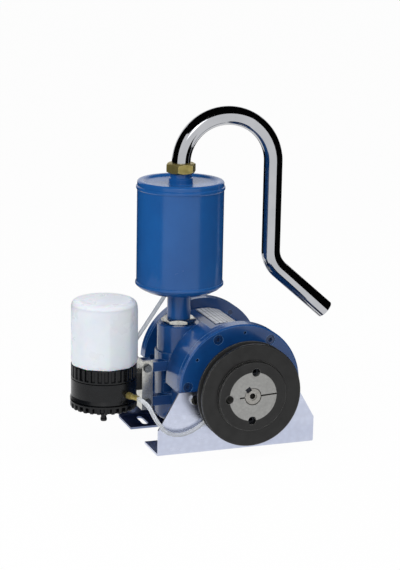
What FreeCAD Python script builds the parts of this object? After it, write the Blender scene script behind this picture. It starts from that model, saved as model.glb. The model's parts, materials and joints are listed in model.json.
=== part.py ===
import FreeCAD, Part
import math
import os

import Sketcher

"""Oil-lubricated rotary-vane vacuum pump, built as separate pieces in millimetres.

The frame has +Z up, +X to the right and the pulley at -Y. The origin is on the underside
of the front foot, below the shaft and in line with that foot's slots. The pieces are drawn
about the middle of the pump, and each finished one is moved to this frame.
"""

os.makedirs("parts", exist_ok=True)
document = FreeCAD.newDocument("vacuum_pump")
sheet = document.addObject("Spreadsheet::Sheet", "dims")
Vector = FreeCAD.Vector
X_AXIS = Vector(1, 0, 0)
Y_AXIS = Vector(0, 1, 0)
Z_AXIS = Vector(0, 0, 1)
FULL_TURN = 360.0
QUARTER = 90
NUT_SIDES = 6
CAP_SCREWS = 4
VANES = 4
# How near two places are when they are the same, and when a corner is being looked for.
TOUCH = 0.1
NEAR = 1.0
# The share of a hose's volume that its sweep may be out by.
VOLUME_SLACK = 0.01
# The share of the shorter run next to a bend of a hose that the bend takes up.
BEND_SHARE = 0.45
# The edges of the chamber's floor are rounded as far as this X.
FLOOR_ROUND_END = -41
# Where the hoses turn between their ends.
FRONT_HOSE_SAG = (Vector(-133, -112, 60), Vector(-111, -104, 33))
REAR_HOSE_CLIMB = (Vector(-119, 50, 120), Vector(-79, 58, 172))
REAR_HOSE_CREST = (Vector(-46, 78, 205), Vector(-26, 98, 212), Vector(-9, 109, 190))


class Size:
    """A driving size or a sum made of some, kept as a number and as sheet text."""

    def __init__(self, value, text):
        self.value = float(value)
        self.text = text

    def __float__(self):
        return self.value

    def __neg__(self):
        return Size(-self.value, f"-({self.text})")

    def __add__(self, other):
        other = as_size(other)
        return Size(self.value + other.value, f"({self.text} + {other.text})")

    def __sub__(self, other):
        other = as_size(other)
        return Size(self.value - other.value, f"({self.text} - {other.text})")

    def __mul__(self, other):
        other = as_size(other)
        return Size(self.value * other.value, f"({self.text} * {other.text})")

    def __truediv__(self, other):
        other = as_size(other)
        return Size(self.value / other.value, f"({self.text} / {other.text})")


def as_size(number):
    """The number as a Size."""
    return number if isinstance(number, Size) else Size(number, repr(float(number)))


def cosine(angle):
    """Cosine of an angle in degrees."""
    angle = as_size(angle)
    return Size(math.cos(math.radians(angle.value)), f"cos({angle.text} * 1 deg)")


def sine(angle):
    """Sine of an angle in degrees."""
    angle = as_size(angle)
    return Size(math.sin(math.radians(angle.value)), f"sin({angle.text} * 1 deg)")


class Dimensions:
    """Writes named sizes to the sheet and gives them back as Size values."""

    def __init__(self):
        self.rows = 0

    def add(self, **sizes):
        """Put each size on a row of its own and keep it as an attribute."""
        for name, value in sizes.items():
            self.rows += 1
            sheet.set(f"A{self.rows}", name)
            sheet.set(f"B{self.rows}", str(value))
            sheet.setAlias(f"B{self.rows}", name)
            setattr(self, name, Size(value, f"dims.{name}"))


# Base plates
shaft_height = 92
base_depth = 188
base_width = 237
base_shift = -4.5
base_top_width = 176
base_corner_height = 38
base_top_height = 91
foot_depth = 61
sheet_gauge = 3
bend_radius = 4
bend_inner_radius = 1
slot_width = 9
slot_length = 37
slot_across = 91.5
slot_along = 62
plate_notch_gap = 1

# Covers and stator
cover_radius = 91
cover_gauge = 12
gasket_gauge = 0.5
cover_waist = 82
front_shoulder = 88
rear_shoulder = 97
cover_bottom = 11
cover_edge = 2
front_boss_radius = 56
front_boss_length = 15
rear_boss_radius = 47
rear_boss_length = 14
boss_edge = 1.5
stator_radius = 75
stator_rim = 8
shoulder_right = -38
shoulder_foot = 46
bore_radius = 60
bore_drop = 7.9
end_gap = 0.2
screw_circle = 79
screw_angle = 56
screw_radius = 4
screw_gap = 0.1
base_bolt_gap = 0.3
shank_short = 1
gasket_inset = 1
can_turn_in = 1
screw_head_radius = 6.5
screw_head_height = 7
screw_socket = 6
screw_socket_depth = 4
counterbore_radius = 7
counterbore_depth = 8
pin_hole_radius = 2.2
pin_hole_depth = 7
base_bolt_circle = 71
base_bolt_radius = 4
base_bolt_head = 13
base_bolt_head_height = 5.3
base_bolt_grip = 9
base_bolt_upper_angle = 190
base_bolt_lower_angle = 266
base_bolt_right_angle = 326

# Exhaust port, chamber and inlet
tank_x = -62
tank_y = 1
port_radius = 31
port_height = 76
port_passage_radius = 13
port_passage_depth = 68
port_thread_depth = 18
port_edge = 1.5
chamber_left = -95
chamber_right = -40
chamber_half = 31
chamber_bottom = 28
chamber_top = 128
chamber_corner = 26
chamber_foot_round = 7
chamber_pocket_depth = 12
chamber_pocket_left = -93
chamber_pocket_right = -75
chamber_pocket_rib = 5
chamber_pocket_low = 70
chamber_pocket_high = 103
inlet_radius = 24
inlet_face = 86
inlet_height = 100
inlet_thread_radius = 16.6
inlet_thread_depth = 15
inlet_passage_radius = 13

# Rotor
rotor_radius = 52
vane_gauge = 6
vane_height = 30
vane_gap = 0.05
vane_edge = 51.8
shaft_radius = 12.5
shaft_tip = 141
shaft_end = 103
shaft_edge = 1.2
centre_hole_radius = 4.25
centre_hole_depth = 25
centre_sink_radius = 6
centre_sink_depth = 1.8
key_width = 8
key_height = 7
key_length = 28
key_depth = 4
key_angle = 125

# Bearings, seal and caps
bearing_outer = 26
bearing_gauge = 15
race_pitch = 19.25
race_radius = 4
race_mouth = 3.25
race_floor = 1.6
ball_radius = 3.95
inner_ring_outer = 16.8
outer_ring_inner = 21.7
cage_inner = 18.2
cage_outer = 20.3
cage_gauge = 10
cage_gap = 0.1
ball_count = 8
seal_outer = 20
seal_gauge = 7
seal_gap = 0.05
shaft_hole_radius = 14.5
bearing_floor = 8
front_cap_gauge = 2.4
front_cap_radius = 41
rear_cap_gauge = 4
rear_cap_radius = 40
cap_spigot = 1
cap_spigot_gap = 0.1
cap_spigot_inner = 23
cap_hole_radius = 14
cap_screw_circle = 33
cap_screw_radius = 2.5
cap_screw_head = 4.6
cap_screw_length = 10
rear_cap_head_height = 2.8
cap_screw_angle = 45

# Pulley and taper bush
pulley_radius = 74
pulley_face = 136
pulley_width = 21
pulley_edge = 1
hub_radius = 50.5
hub_raise = 5.5
hub_edge = 1.2
hub_back_radius = 46
bush_length = 32
bush_radius = 35
bush_taper = 4
groove_top = 13
groove_floor = 5
groove_depth = 13.8
bush_angle = 3
bush_split = 2.2
bush_slit_reach = 20
bush_hole_radius = 6
bush_hole_depth = 22
bush_hole_upper_angle = 84
bush_hole_far_angle = 183
bush_hole_lower_angle = 269
bush_screw_gap = 0.1
bush_cut_start = 1
bush_screw_sink = 2
bush_screw_length = 15
bush_screw_socket = 6

# Silencer and exhaust pipe
stem_radius = 16.85
stem_wall = 3.2
stem_grip = 6.3
locknut_flats = 44
locknut_height = 8
can_radius = 62
can_wall = 1.2
can_clearance = 47.7
can_foot_height = 12.3
can_shell_height = 138
can_rim_height = 10.5
can_rim_land = 5
can_rim_drop = 2.6
can_dish = 6
seam_swell = 1.5
seam_half = 2.5
can_foot_radius = 50
core_radius = 22
core_wall = 1.2
core_hole_radius = 2.5
neck_radius = 17.2
neck_step_radius = 15.4
neck_seat_margin = 1.3
neck_step = 9.2
neck_height = 16.5
brass_nut_flats = 38
brass_nut_height = 14
pipe_radius = 13.45
pipe_wall = 2.3
pipe_gap = 0.05
pipe_foot_gap = 1.5
pipe_arch_radius = 67
pipe_elbow_radius = 40
pipe_fall = 147.6
pipe_tip_reach = 84.2
pipe_tip_drop = 73.9
pipe_angle = -8.5

# Lubricator
oiler_x = -185
oiler_y = -34
bottle_radius = 48
bottle_foot_radius = 45.5
bottle_height = 92
bottle_foot_rise = 6
bottle_shoulder_drop = 10
bottle_top_radius = 39
bottle_upper_radius = 47.5
bottle_wall = 2
bottle_neck_radius = 20
bottle_neck_length = 12
ring_radius = 46.5
ring_height = 21
ring_bore = 21
oiler_flare = 47.9
oiler_flare_height = 5
oiler_foot = 77
oiler_body_height = 29
oiler_waist_radius = 44
oiler_waist_height = 2
drain_ring_radius = 47.5
drain_ring_height = 11.5
spigot_radius = 4.7
spigot_length = 22.5
lug_face = -127
lug_front = -26
lug_back = -2
lug_rise = 2
lug_height = 25
bracket_gauge = 3
bracket_front = -31
bracket_back = 0
bracket_right = -111
bracket_foot = 50
bracket_top = 122
bracket_bolt_x = -119.5
bracket_bolt_low = 61
bracket_bolt_high = 112
bracket_bolt_radius = 3
bracket_bolt_head = 10
bracket_bolt_head_height = 4
bracket_bolt_length = 12
washer_radius = 6.2
washer_gauge = 1.6
pad_half = 7
pad_depth = 14
oiler_screw_y = -14
oiler_screw_rise = 7
oiler_screw_pitch = 15
oiler_screw_length = 14

# Oil lines
hose_radius = 3
hose_bore = 2
barb_radius = 1.95
barb_ridge = 2.0
barb_grip = 11
barb_collar_radius = 3.8
barb_collar = 4
barb_hex_flats = 9
barb_hex_height = 6
barb_thread_radius = 4
barb_thread_length = 6
front_barb_angle = -60
rear_barb_angle = 62
barb_rise = 11
front_fitting_angle = 219
front_fitting_y = -99.6
rear_fitting_angle = 100
rear_fitting_y = 99.6
front_hose_lead = 28
front_hose_tail = 34
rear_hose_lead = 30
rear_hose_tail = 20

# Nameplate
nameplate_gauge = 0.8
nameplate_gap = 0.25
nameplate_span_angle = 29
nameplate_angle = 70.5
nameplate_front = -19
nameplate_length = 86
rivet_radius = 2.2
rivet_height = 1
rivet_inset = 5

# Every size above is one row of the sheet, under its own name
sizes = {name: size for name, size in globals().items() if name.islower()}
d = Dimensions()
d.add(**{name: size for name, size in sizes.items() if type(size) in (int, float)})
document.recompute()

ZERO = as_size(0)
HALF_DEPTH = d.base_depth / 2
COVER_FACE = HALF_DEPTH - d.sheet_gauge
COVER_BACK = COVER_FACE - d.cover_gauge
STATOR_END = COVER_BACK - d.gasket_gauge
FRONT_BOSS = COVER_FACE + d.front_boss_length
REAR_BOSS = COVER_FACE + d.rear_boss_length
PORT_TOP = d.shaft_height + d.port_height
CAN_BOTTOM = PORT_TOP + d.can_clearance
LOWER_SEAM = CAN_BOTTOM + d.can_foot_height
UPPER_SEAM = LOWER_SEAM + d.can_shell_height
CAN_RIM = UPPER_SEAM + d.can_rim_height
CAN_TOP = CAN_RIM - d.can_dish
NECK_TOP = CAN_TOP + d.neck_height
NUT_TOP = NECK_TOP + d.brass_nut_height
BODY_TOP = d.oiler_foot + d.oiler_body_height
BOTTLE_FOOT = BODY_TOP + d.ring_height
BOTTLE_TOP = BOTTLE_FOOT + d.bottle_height
WAIST_FOOT = d.oiler_foot - d.oiler_waist_height
DRAIN_FOOT = WAIST_FOOT - d.drain_ring_height
OILER_SCREWS = (
    d.oiler_foot + d.oiler_screw_rise,
    d.oiler_foot + d.oiler_screw_rise + d.oiler_screw_pitch,
)


class Piece:
    """One PartDesign body with its features, placed in the shared frame."""

    def __init__(self, label, x=ZERO, y=ZERO, z=ZERO, turn=0.0, axis=Z_AXIS):
        self.label = label
        self.body = document.addObject("PartDesign::Body", label)
        self.body.Label = label
        spin = FreeCAD.Rotation(axis, float(turn))
        start = Vector(float(x), float(y), float(z))
        self.body.Placement = FreeCAD.Placement(start, spin)
        for letter, place in zip("xyz", (x, y, z)):
            self.body.setExpression(f"Placement.Base.{letter}", as_size(place).text)
        self.count = 0

    def name(self, kind):
        """A name for the next feature of this kind."""
        self.count += 1
        return f"{self.label}_{kind}_{self.count}"

    def sketch(self, plane, offset=ZERO):
        """An empty sketch on an origin plane, moved along the plane's normal."""
        made = self.body.newObject("Sketcher::SketchObject", self.name("sketch"))
        planes = self.body.Origin.OriginFeatures
        support = next(item for item in planes if item.Role == f"{plane}_Plane")
        made.AttachmentSupport = [(support, "")]
        made.MapMode = "FlatFace"
        offset = as_size(offset)
        made.AttachmentOffset = FreeCAD.Placement(Vector(0, 0, offset.value), FreeCAD.Rotation())
        made.setExpression("AttachmentOffset.Base.z", offset.text)
        return made

    def outline(self, sketch, corners):
        """Close a polygon through the corners, each held at its sheet sizes."""
        corners = [(as_size(across), as_size(up)) for across, up in corners]
        points = [Vector(across.value, up.value, 0) for across, up in corners]
        lines = []
        for index, point in enumerate(points):
            following = points[(index + 1) % len(points)]
            lines.append(sketch.addGeometry(Part.LineSegment(point, following), False))
        for index, line in enumerate(lines):
            following = lines[(index + 1) % len(lines)]
            sketch.addConstraint(Sketcher.Constraint("Coincident", line, 2, following, 1))
        for line, (across, up) in zip(lines, corners):
            hold(sketch, line, 1, across, up)
        return sketch

    def circle(self, sketch, across, up, radius):
        """Add a circle held at its centre and radius."""
        across, up, radius = as_size(across), as_size(up), as_size(radius)
        centre = Vector(across.value, up.value, 0)
        made = sketch.addGeometry(Part.Circle(centre, Vector(0, 0, 1), radius.value), False)
        hold(sketch, made, 3, across, up)
        held = sketch.addConstraint(Sketcher.Constraint("Radius", made, radius.value))
        sketch.setExpression(f"Constraints[{held}]", radius.text)
        return sketch

    def ring(self, sketch, outer, inner, across=ZERO, up=ZERO):
        """Add two circles round one centre."""
        self.circle(sketch, across, up, outer)
        return self.circle(sketch, across, up, inner)

    def feature(self, kind, sketch, length, backward=False, both=False):
        """Pad or pocket a sketch by a length."""
        length = as_size(length)
        made = self.body.newObject(f"PartDesign::{kind}", self.name(kind.lower()))
        made.Profile = sketch
        made.Length = length.value
        made.setExpression("Length", length.text)
        made.Reversed = backward
        if both:
            made.SideType = "Symmetric"
        return made

    def pad(self, sketch, length, **choices):
        """Add material along the sketch normal."""
        return self.feature("Pad", sketch, length, **choices)

    def pocket(self, sketch, length, **choices):
        """Take material away against the sketch normal."""
        document.recompute()
        before = self.body.Shape.Volume
        made = self.feature("Pocket", sketch, length, **choices)
        document.recompute()
        if self.body.Shape.Volume >= before:
            raise ValueError(f"{made.Name} takes nothing away")
        return made

    def revolve(self, sketch, angle=FULL_TURN, kind="Revolution"):
        """Turn a profile about the sketch's vertical axis."""
        angle = as_size(angle)
        made = self.body.newObject(f"PartDesign::{kind}", self.name(kind.lower()))
        made.Profile = sketch
        made.ReferenceAxis = (sketch, ["V_Axis"])
        made.Angle = angle.value
        made.setExpression("Angle", angle.text)
        return made

    def polar(self, original, sketch, count):
        """Repeat a feature round the sketch normal through the origin."""
        document.recompute()
        made = self.body.newObject("PartDesign::PolarPattern", self.name("pattern"))
        made.Originals = [original]
        made.Axis = (sketch, ["N_Axis"])
        made.Angle = FULL_TURN
        made.Occurrences = count
        self.body.Tip = made
        return made

    def edge_feature(self, kind, size, chosen):
        """Fillet or chamfer the edges that a test chooses."""
        document.recompute()
        size = as_size(size)
        base = self.body.Tip
        names = [
            f"Edge{index}" for index, edge in enumerate(base.Shape.Edges, start=1) if chosen(edge)
        ]
        made = self.body.newObject(f"PartDesign::{kind}", self.name(kind.lower()))
        made.Base = (base, names)
        setting = "Radius" if kind == "Fillet" else "Size"
        setattr(made, setting, size.value)
        made.setExpression(setting, size.text)
        return made


def hold(sketch, geometry, point, across, up):
    """Hold a point of a sketch at sheet sizes from the origin."""
    for kind, place in (("DistanceX", across), ("DistanceY", up)):
        rule = Sketcher.Constraint(kind, -1, 1, geometry, point, place.value)
        held = sketch.addConstraint(rule)
        sketch.setExpression(f"Constraints[{held}]", place.text)


def turned(label, corners, x=ZERO, y=ZERO, z=ZERO, upright=False):
    """A turned piece: a radius and height profile about Y, or about Z if upright."""
    piece = Piece(label, x, y, z)
    sketch = piece.sketch("XZ" if upright else "XY")
    piece.outline(sketch, corners)
    piece.revolve(sketch)
    return piece


def on_shaft(label, corners):
    """A piece turned about the shaft line, its profile in radius and Y."""
    return turned(label, corners, z=d.shaft_height)


def on_tank(label, corners):
    """A piece turned about the silencer's upright axis."""
    return turned(label, corners, x=d.tank_x, y=d.tank_y, upright=True)


def on_oiler(label, corners):
    """A piece turned about the lubricator's upright axis."""
    return turned(label, corners, x=d.oiler_x, y=d.oiler_y, upright=True)


def box_corners(left, right, low, high):
    """The four corners of an upright rectangle."""
    return [(left, low), (right, low), (right, high), (left, high)]


def bound(kind, name, **sizes):
    """A Part primitive with its sizes bound to the sheet."""
    made = document.addObject(f"Part::{kind}", name)
    for setting, size in sizes.items():
        size = as_size(size)
        setattr(made, setting, size.value)
        made.setExpression(setting, size.text)
    return made


def place(made, x=ZERO, y=ZERO, z=ZERO, axis=Z_AXIS, turn=0.0):
    """Place a primitive, its position bound to the sheet."""
    spin = FreeCAD.Rotation(axis, float(turn))
    start = Vector(float(x), float(y), float(z))
    made.Placement = FreeCAD.Placement(start, spin)
    for letter, position in zip("xyz", (x, y, z)):
        made.setExpression(f"Placement.Base.{letter}", as_size(position).text)
    return made


def joined(label, kind, shapes):
    """A boolean of several shapes under one label."""
    made = document.addObject(f"Part::{kind}", label)
    made.Label = label
    if kind == "Cut":
        made.Base, made.Tool = shapes
    else:
        made.Shapes = shapes
    return made


def solid_group(label, shapes):
    """Separate equal solids that share one label."""
    made = document.addObject("Part::Feature", label)
    made.Label = label
    made.Shape = Part.makeCompound(shapes)
    return made


pieces = []


def keep(made):
    """Move a finished piece to the shared frame and put it on the list that is written out."""
    piece = made.body if isinstance(made, Piece) else made
    rules = {path.lstrip("."): rule for path, rule in piece.ExpressionEngine}
    along = rules.get("Placement.Base.y", "0")
    piece.setExpression("Placement.Base.y", f"{along} + dims.slot_along")
    pieces.append(piece)
    return made


def cover_flats(piece, plane_offset, length, shoulder, backward=False):
    """Cut the straight flanks and the flat foot of a round rim."""
    reach = d.cover_radius + d.cover_edge
    sketch = piece.sketch("XZ", plane_offset)
    top = shoulder - d.shaft_height
    foot = d.cover_bottom - d.shaft_height
    piece.outline(
        sketch,
        [
            (-reach, -reach),
            (reach, -reach),
            (reach, top),
            (d.cover_waist, top),
            (d.cover_waist, foot),
            (-d.cover_waist, foot),
            (-d.cover_waist, top),
            (-reach, top),
        ],
    )
    piece.pocket(sketch, length, backward=backward)


def base_plate(label, side):
    """A bent base plate: the upright sheet at side times half the depth."""
    turn = 0.0 if side < 0 else FULL_TURN / 2
    piece = Piece(label, turn=turn)
    shift = d.base_shift * (-side)
    front = -HALF_DEPTH
    inner = front + d.sheet_gauge
    left = shift - d.base_width / 2
    profile = piece.sketch("YZ", left)
    piece.outline(
        profile,
        [
            (front, ZERO),
            (front + d.foot_depth, ZERO),
            (front + d.foot_depth, d.sheet_gauge),
            (inner, d.sheet_gauge),
            (inner, d.base_top_height),
            (front, d.base_top_height),
        ],
    )
    piece.pad(profile, d.base_width)

    def along_x(edge):
        ends = edge.BoundBox
        return ends.XLength > d.base_width.value / 2

    def outer_bend(edge):
        middle = edge.CenterOfMass
        return along_x(edge) and abs(middle.y - front.value) < TOUCH and abs(middle.z) < TOUCH

    def inner_bend(edge):
        middle = edge.CenterOfMass
        gauge = d.sheet_gauge.value
        return along_x(edge) and abs(middle.y - inner.value) < TOUCH and abs(middle.z - gauge) < TOUCH

    piece.edge_feature("Fillet", d.bend_radius, outer_bend)
    piece.edge_feature("Fillet", d.bend_inner_radius, inner_bend)
    for way in (-1, 1):
        corner = piece.sketch("XZ", -front)
        edge = shift + d.base_width / 2 * way
        crest = shift + d.base_top_width / 2 * way
        outside = edge + d.bend_radius * way
        over = d.base_top_height + d.bend_radius
        piece.outline(
            corner,
            [
                (edge, d.base_corner_height),
                (outside, d.base_corner_height),
                (outside, over),
                (crest, over),
                (crest, d.base_top_height),
            ],
        )
        piece.pocket(corner, d.sheet_gauge + d.bend_inner_radius)
    boss = d.front_boss_radius if side < 0 else d.rear_boss_radius
    notch = piece.sketch("XZ", -front)
    piece.circle(notch, ZERO, d.shaft_height, boss + d.plate_notch_gap)
    piece.pocket(notch, d.sheet_gauge)
    round_radius = d.slot_width / 2
    straight = (d.slot_length - d.slot_width) / 2
    for way in (-1, 1):
        centre = shift + d.slot_across * way
        bed = piece.sketch("XY", d.sheet_gauge)
        edges = box_corners(
            centre - round_radius,
            centre + round_radius,
            -d.slot_along - straight,
            -d.slot_along + straight,
        )
        piece.outline(bed, edges)
        piece.pocket(bed, d.sheet_gauge)
        for end in (-1, 1):
            tip = piece.sketch("XY", d.sheet_gauge)
            piece.circle(tip, centre, -d.slot_along + straight * end, round_radius)
            piece.pocket(tip, d.sheet_gauge)
    for angle in (d.base_bolt_upper_angle, d.base_bolt_lower_angle, d.base_bolt_right_angle):
        hole = piece.sketch("XZ", -front)
        across = d.base_bolt_circle * cosine(angle)
        up = d.shaft_height + d.base_bolt_circle * sine(angle)
        piece.circle(hole, across, up, d.base_bolt_radius + d.base_bolt_gap)
        piece.pocket(hole, d.sheet_gauge)
    return piece


def cover(label, side, boss_radius, boss_face, shoulder):
    """An end cover with its bearing boss; side is -1 at the pulley, 1 behind."""
    face = COVER_FACE * side
    back = COVER_BACK * side
    tip = boss_face * side
    floor = (boss_face - d.bearing_gauge - d.cap_spigot) * side
    seal_floor = (COVER_BACK + d.bearing_floor - d.seal_gauge + 2) * side
    profile = [
        (d.shaft_hole_radius, back),
        (d.cover_radius, back),
        (d.cover_radius, face - d.cover_edge * side),
        (d.cover_radius - d.cover_edge, face),
        (boss_radius, face),
        (boss_radius, tip - d.boss_edge * side),
        (boss_radius - d.boss_edge, tip),
        (d.bearing_outer, tip),
        (d.bearing_outer, floor),
    ]
    if side < 0:
        profile += [
            (d.seal_outer, floor),
            (d.seal_outer, seal_floor),
            (d.shaft_hole_radius, seal_floor),
        ]
    else:
        profile.append((d.shaft_hole_radius, floor))
    piece = on_shaft(f"{label}_casting", profile)
    start, backward = (-face, False) if side < 0 else (-face, True)
    cover_flats(piece, start, d.cover_gauge, shoulder, backward)
    turn = d.screw_angle
    for radius, depth in (
        (d.counterbore_radius, d.counterbore_depth),
        (d.screw_radius + d.screw_gap, d.cover_gauge),
    ):
        sketch = piece.sketch("XZ", start)
        piece.circle(sketch, d.screw_circle * cosine(turn), d.screw_circle * sine(turn), radius)
        first = piece.pocket(sketch, depth, backward=backward)
        piece.polar(first, sketch, NUT_SIDES)
    turn = d.screw_angle + FULL_TURN / NUT_SIDES / 2
    sketch = piece.sketch("XZ", start)
    piece.circle(
        sketch, d.screw_circle * cosine(turn), d.screw_circle * sine(turn), d.pin_hole_radius
    )
    first = piece.pocket(sketch, d.pin_hole_depth, backward=backward)
    piece.polar(first, sketch, NUT_SIDES)
    mirror = 1 if side < 0 else -1
    for angle in (d.base_bolt_upper_angle, d.base_bolt_lower_angle, d.base_bolt_right_angle):
        sketch = piece.sketch("XZ", start)
        across = d.base_bolt_circle * cosine(angle) * mirror
        radius = d.base_bolt_radius + d.screw_gap
        piece.circle(sketch, across, d.base_bolt_circle * sine(angle), radius)
        piece.pocket(sketch, d.base_bolt_grip, backward=backward)
    cap_circle = d.cap_screw_circle
    for step in range(CAP_SCREWS):
        angle = d.cap_screw_angle + QUARTER * step
        sketch = piece.sketch("XZ", -tip)
        radius = d.cap_screw_radius + d.screw_gap
        piece.circle(sketch, cap_circle * cosine(angle), cap_circle * sine(angle), radius)
        piece.pocket(sketch, d.cap_screw_length, backward=backward)
    fitting_turn = d.front_fitting_angle if side < 0 else d.rear_fitting_angle
    fitting_y = d.front_fitting_y if side < 0 else d.rear_fitting_y
    bore = bound(
        "Cylinder",
        f"{label}_oil_bore",
        Radius=d.barb_thread_radius + d.screw_gap,
        Height=d.barb_thread_length * 2,
    )
    start = boss_radius - d.barb_thread_length
    across = start * cosine(fitting_turn)
    up = d.shaft_height + start * sine(fitting_turn)
    place(bore, across, fitting_y, up, Y_AXIS, QUARTER - float(fitting_turn))
    return keep(joined(label, "Cut", (piece.body, bore)))


def stator():
    """The casting between the covers, with exhaust port, chamber and lugs."""
    piece = Piece("stator", z=d.shaft_height)
    chamber = piece.sketch("XY", d.chamber_bottom - d.shaft_height)
    low = d.tank_y - d.chamber_half
    high = d.tank_y + d.chamber_half
    piece.outline(chamber, box_corners(d.chamber_left, d.chamber_right, low, high))
    piece.pad(chamber, d.chamber_top - d.chamber_bottom)

    def outer_upright(edge):
        box = edge.BoundBox
        height = d.chamber_top.value - d.chamber_bottom.value
        return abs(box.ZLength - height) < NEAR and abs(box.Center.x - d.chamber_left.value) < NEAR

    def chamber_floor(edge):
        box = edge.BoundBox
        level = d.chamber_bottom.value - d.shaft_height.value
        flat = box.ZLength < TOUCH and abs(box.ZMin - level) < TOUCH
        return flat and box.XMax < FLOOR_ROUND_END

    piece.edge_feature("Fillet", d.chamber_corner, outer_upright)
    piece.edge_feature("Fillet", d.chamber_foot_round, chamber_floor)
    drum = piece.sketch("XZ", STATOR_END)
    piece.circle(drum, ZERO, ZERO, d.cover_radius)
    shoulder_length = STATOR_END + d.tank_y - d.chamber_half
    piece.pad(drum, shoulder_length, backward=True)
    away = piece.sketch("XZ", STATOR_END - d.stator_rim)
    reach = d.cover_radius + d.cover_edge
    foot = d.shoulder_foot - d.shaft_height
    piece.outline(
        away,
        [
            (d.shoulder_right, reach),
            (reach, reach),
            (reach, -reach),
            (-reach, -reach),
            (-reach, foot),
            (d.shoulder_right, foot),
        ],
    )
    piece.pocket(away, shoulder_length - d.stator_rim)
    cover_flats(piece, STATOR_END, shoulder_length, d.front_shoulder)
    barrel = piece.sketch("XZ")
    piece.circle(barrel, ZERO, ZERO, d.stator_radius)
    piece.pad(barrel, STATOR_END * 2, both=True)
    boss = piece.sketch("XY")
    piece.circle(boss, d.tank_x, d.tank_y, d.port_radius)
    piece.pad(boss, d.port_height)

    def port_rim(edge):
        box = edge.BoundBox
        level = d.port_height.value
        return box.ZLength < TOUCH and abs(box.ZMin - level) < TOUCH

    piece.edge_feature("Chamfer", d.port_edge, port_rim)
    inlet = piece.sketch("YZ")
    piece.circle(inlet, ZERO, d.inlet_height - d.shaft_height, d.inlet_radius)
    piece.pad(inlet, d.inlet_face)
    lug = piece.sketch("XZ", -d.bracket_front - d.bracket_gauge)
    for middle in (d.bracket_bolt_low, d.bracket_bolt_high):
        low = middle - d.pad_half - d.shaft_height
        high = middle + d.pad_half - d.shaft_height
        left = d.lug_face + d.bracket_gauge
        edges = box_corners(left, d.chamber_left + d.chamber_corner, low, high)
        piece.outline(lug, edges)
    piece.pad(lug, d.pad_depth, backward=True)
    rim = piece.sketch("XZ", -STATOR_END)
    piece.circle(rim, ZERO, ZERO, d.cover_radius)
    piece.pad(rim, d.stator_rim)
    cover_flats(piece, -STATOR_END, d.stator_rim, d.rear_shoulder, True)
    bore = piece.sketch("XZ")
    piece.circle(bore, ZERO, -d.bore_drop, d.bore_radius)
    piece.pocket(bore, STATOR_END * 2, both=True)
    for radius, depth in (
        (d.stem_radius, d.port_thread_depth),
        (d.port_passage_radius, d.port_passage_depth),
    ):
        sketch = piece.sketch("XY", d.port_height)
        piece.circle(sketch, d.tank_x, d.tank_y, radius)
        piece.pocket(sketch, depth)
    for radius, depth in (
        (d.inlet_thread_radius, d.inlet_thread_depth),
        (d.inlet_passage_radius, d.inlet_face - d.bore_radius / 2),
    ):
        sketch = piece.sketch("YZ", d.inlet_face)
        piece.circle(sketch, ZERO, d.inlet_height - d.shaft_height, radius)
        piece.pocket(sketch, depth)
    for side, backward in ((-1, False), (1, True)):
        sketch = piece.sketch("XZ", -STATOR_END * side)
        turn = d.screw_angle
        across = d.screw_circle * cosine(turn)
        piece.circle(sketch, across, d.screw_circle * sine(turn), d.screw_radius + d.screw_gap)
        first = piece.pocket(sketch, d.stator_rim, backward=backward)
        piece.polar(first, sketch, NUT_SIDES)
    threads = piece.sketch("XZ", -d.bracket_front - d.bracket_gauge)
    for middle in (d.bracket_bolt_low, d.bracket_bolt_high):
        radius = d.bracket_bolt_radius + d.screw_gap
        piece.circle(threads, d.bracket_bolt_x, middle - d.shaft_height, radius)
    piece.pocket(threads, d.bracket_bolt_length)
    front = piece.sketch("XZ", d.chamber_half - d.tank_y)
    middle = (d.chamber_pocket_low + d.chamber_pocket_high) / 2 - d.shaft_height
    low = d.chamber_pocket_low - d.shaft_height
    high = d.chamber_pocket_high - d.shaft_height
    rib = d.chamber_pocket_rib / 2
    left, right = d.chamber_pocket_left, d.chamber_pocket_right
    piece.outline(front, box_corners(left, right, middle + rib, high))
    piece.outline(front, box_corners(left, right, low, middle - rib))
    piece.pocket(front, d.chamber_pocket_depth)
    return keep(piece)


def prism(corner, height):
    """A six-sided prism standing on the origin."""
    step = 2 * math.pi / NUT_SIDES
    corners = [
        Vector(corner * math.cos(step * index), corner * math.sin(step * index), 0)
        for index in range(NUT_SIDES)
    ]
    face = Part.Face(Part.makePolygon(corners + corners[:1]))
    return face.extrude(Vector(0, 0, height))


def corner_of(flats):
    """Corner radius of a hexagon from its width across flats."""
    return float(flats) / 2 / math.cos(math.pi / NUT_SIDES)


def screw(radius, length, head):
    """A screw along +Z: a head standing on the origin and a shank below it."""
    shank = Part.makeCylinder(float(radius), float(length), Vector(0, 0, -float(length)))
    return shank.fuse(head).removeSplitter()


def hex_head(flats, height):
    """A hexagon head with its top corners taken off."""
    corner = corner_of(flats)
    height = float(height)
    full = height * 2 / 3
    cone = Part.makeCone(corner, corner * 0.85, height - full, Vector(0, 0, full))
    round_blank = Part.makeCylinder(corner, full).fuse(cone)
    return prism(corner, height).common(round_blank).removeSplitter()


def socket_head(radius, height, flats, depth):
    """A round head with a six-sided socket."""
    socket = prism(corner_of(flats), float(depth))
    socket.translate(Vector(0, 0, float(height) - float(depth)))
    return Part.makeCylinder(float(radius), float(height)).cut(socket)


def pointed(shape, point, direction):
    """A copy of a shape with its +Z turned to a direction and its origin moved."""
    made = shape.copy()
    spin = FreeCAD.Rotation(Z_AXIS, Vector(*direction))
    made.Placement = FreeCAD.Placement(Vector(*point), spin)
    return made


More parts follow.
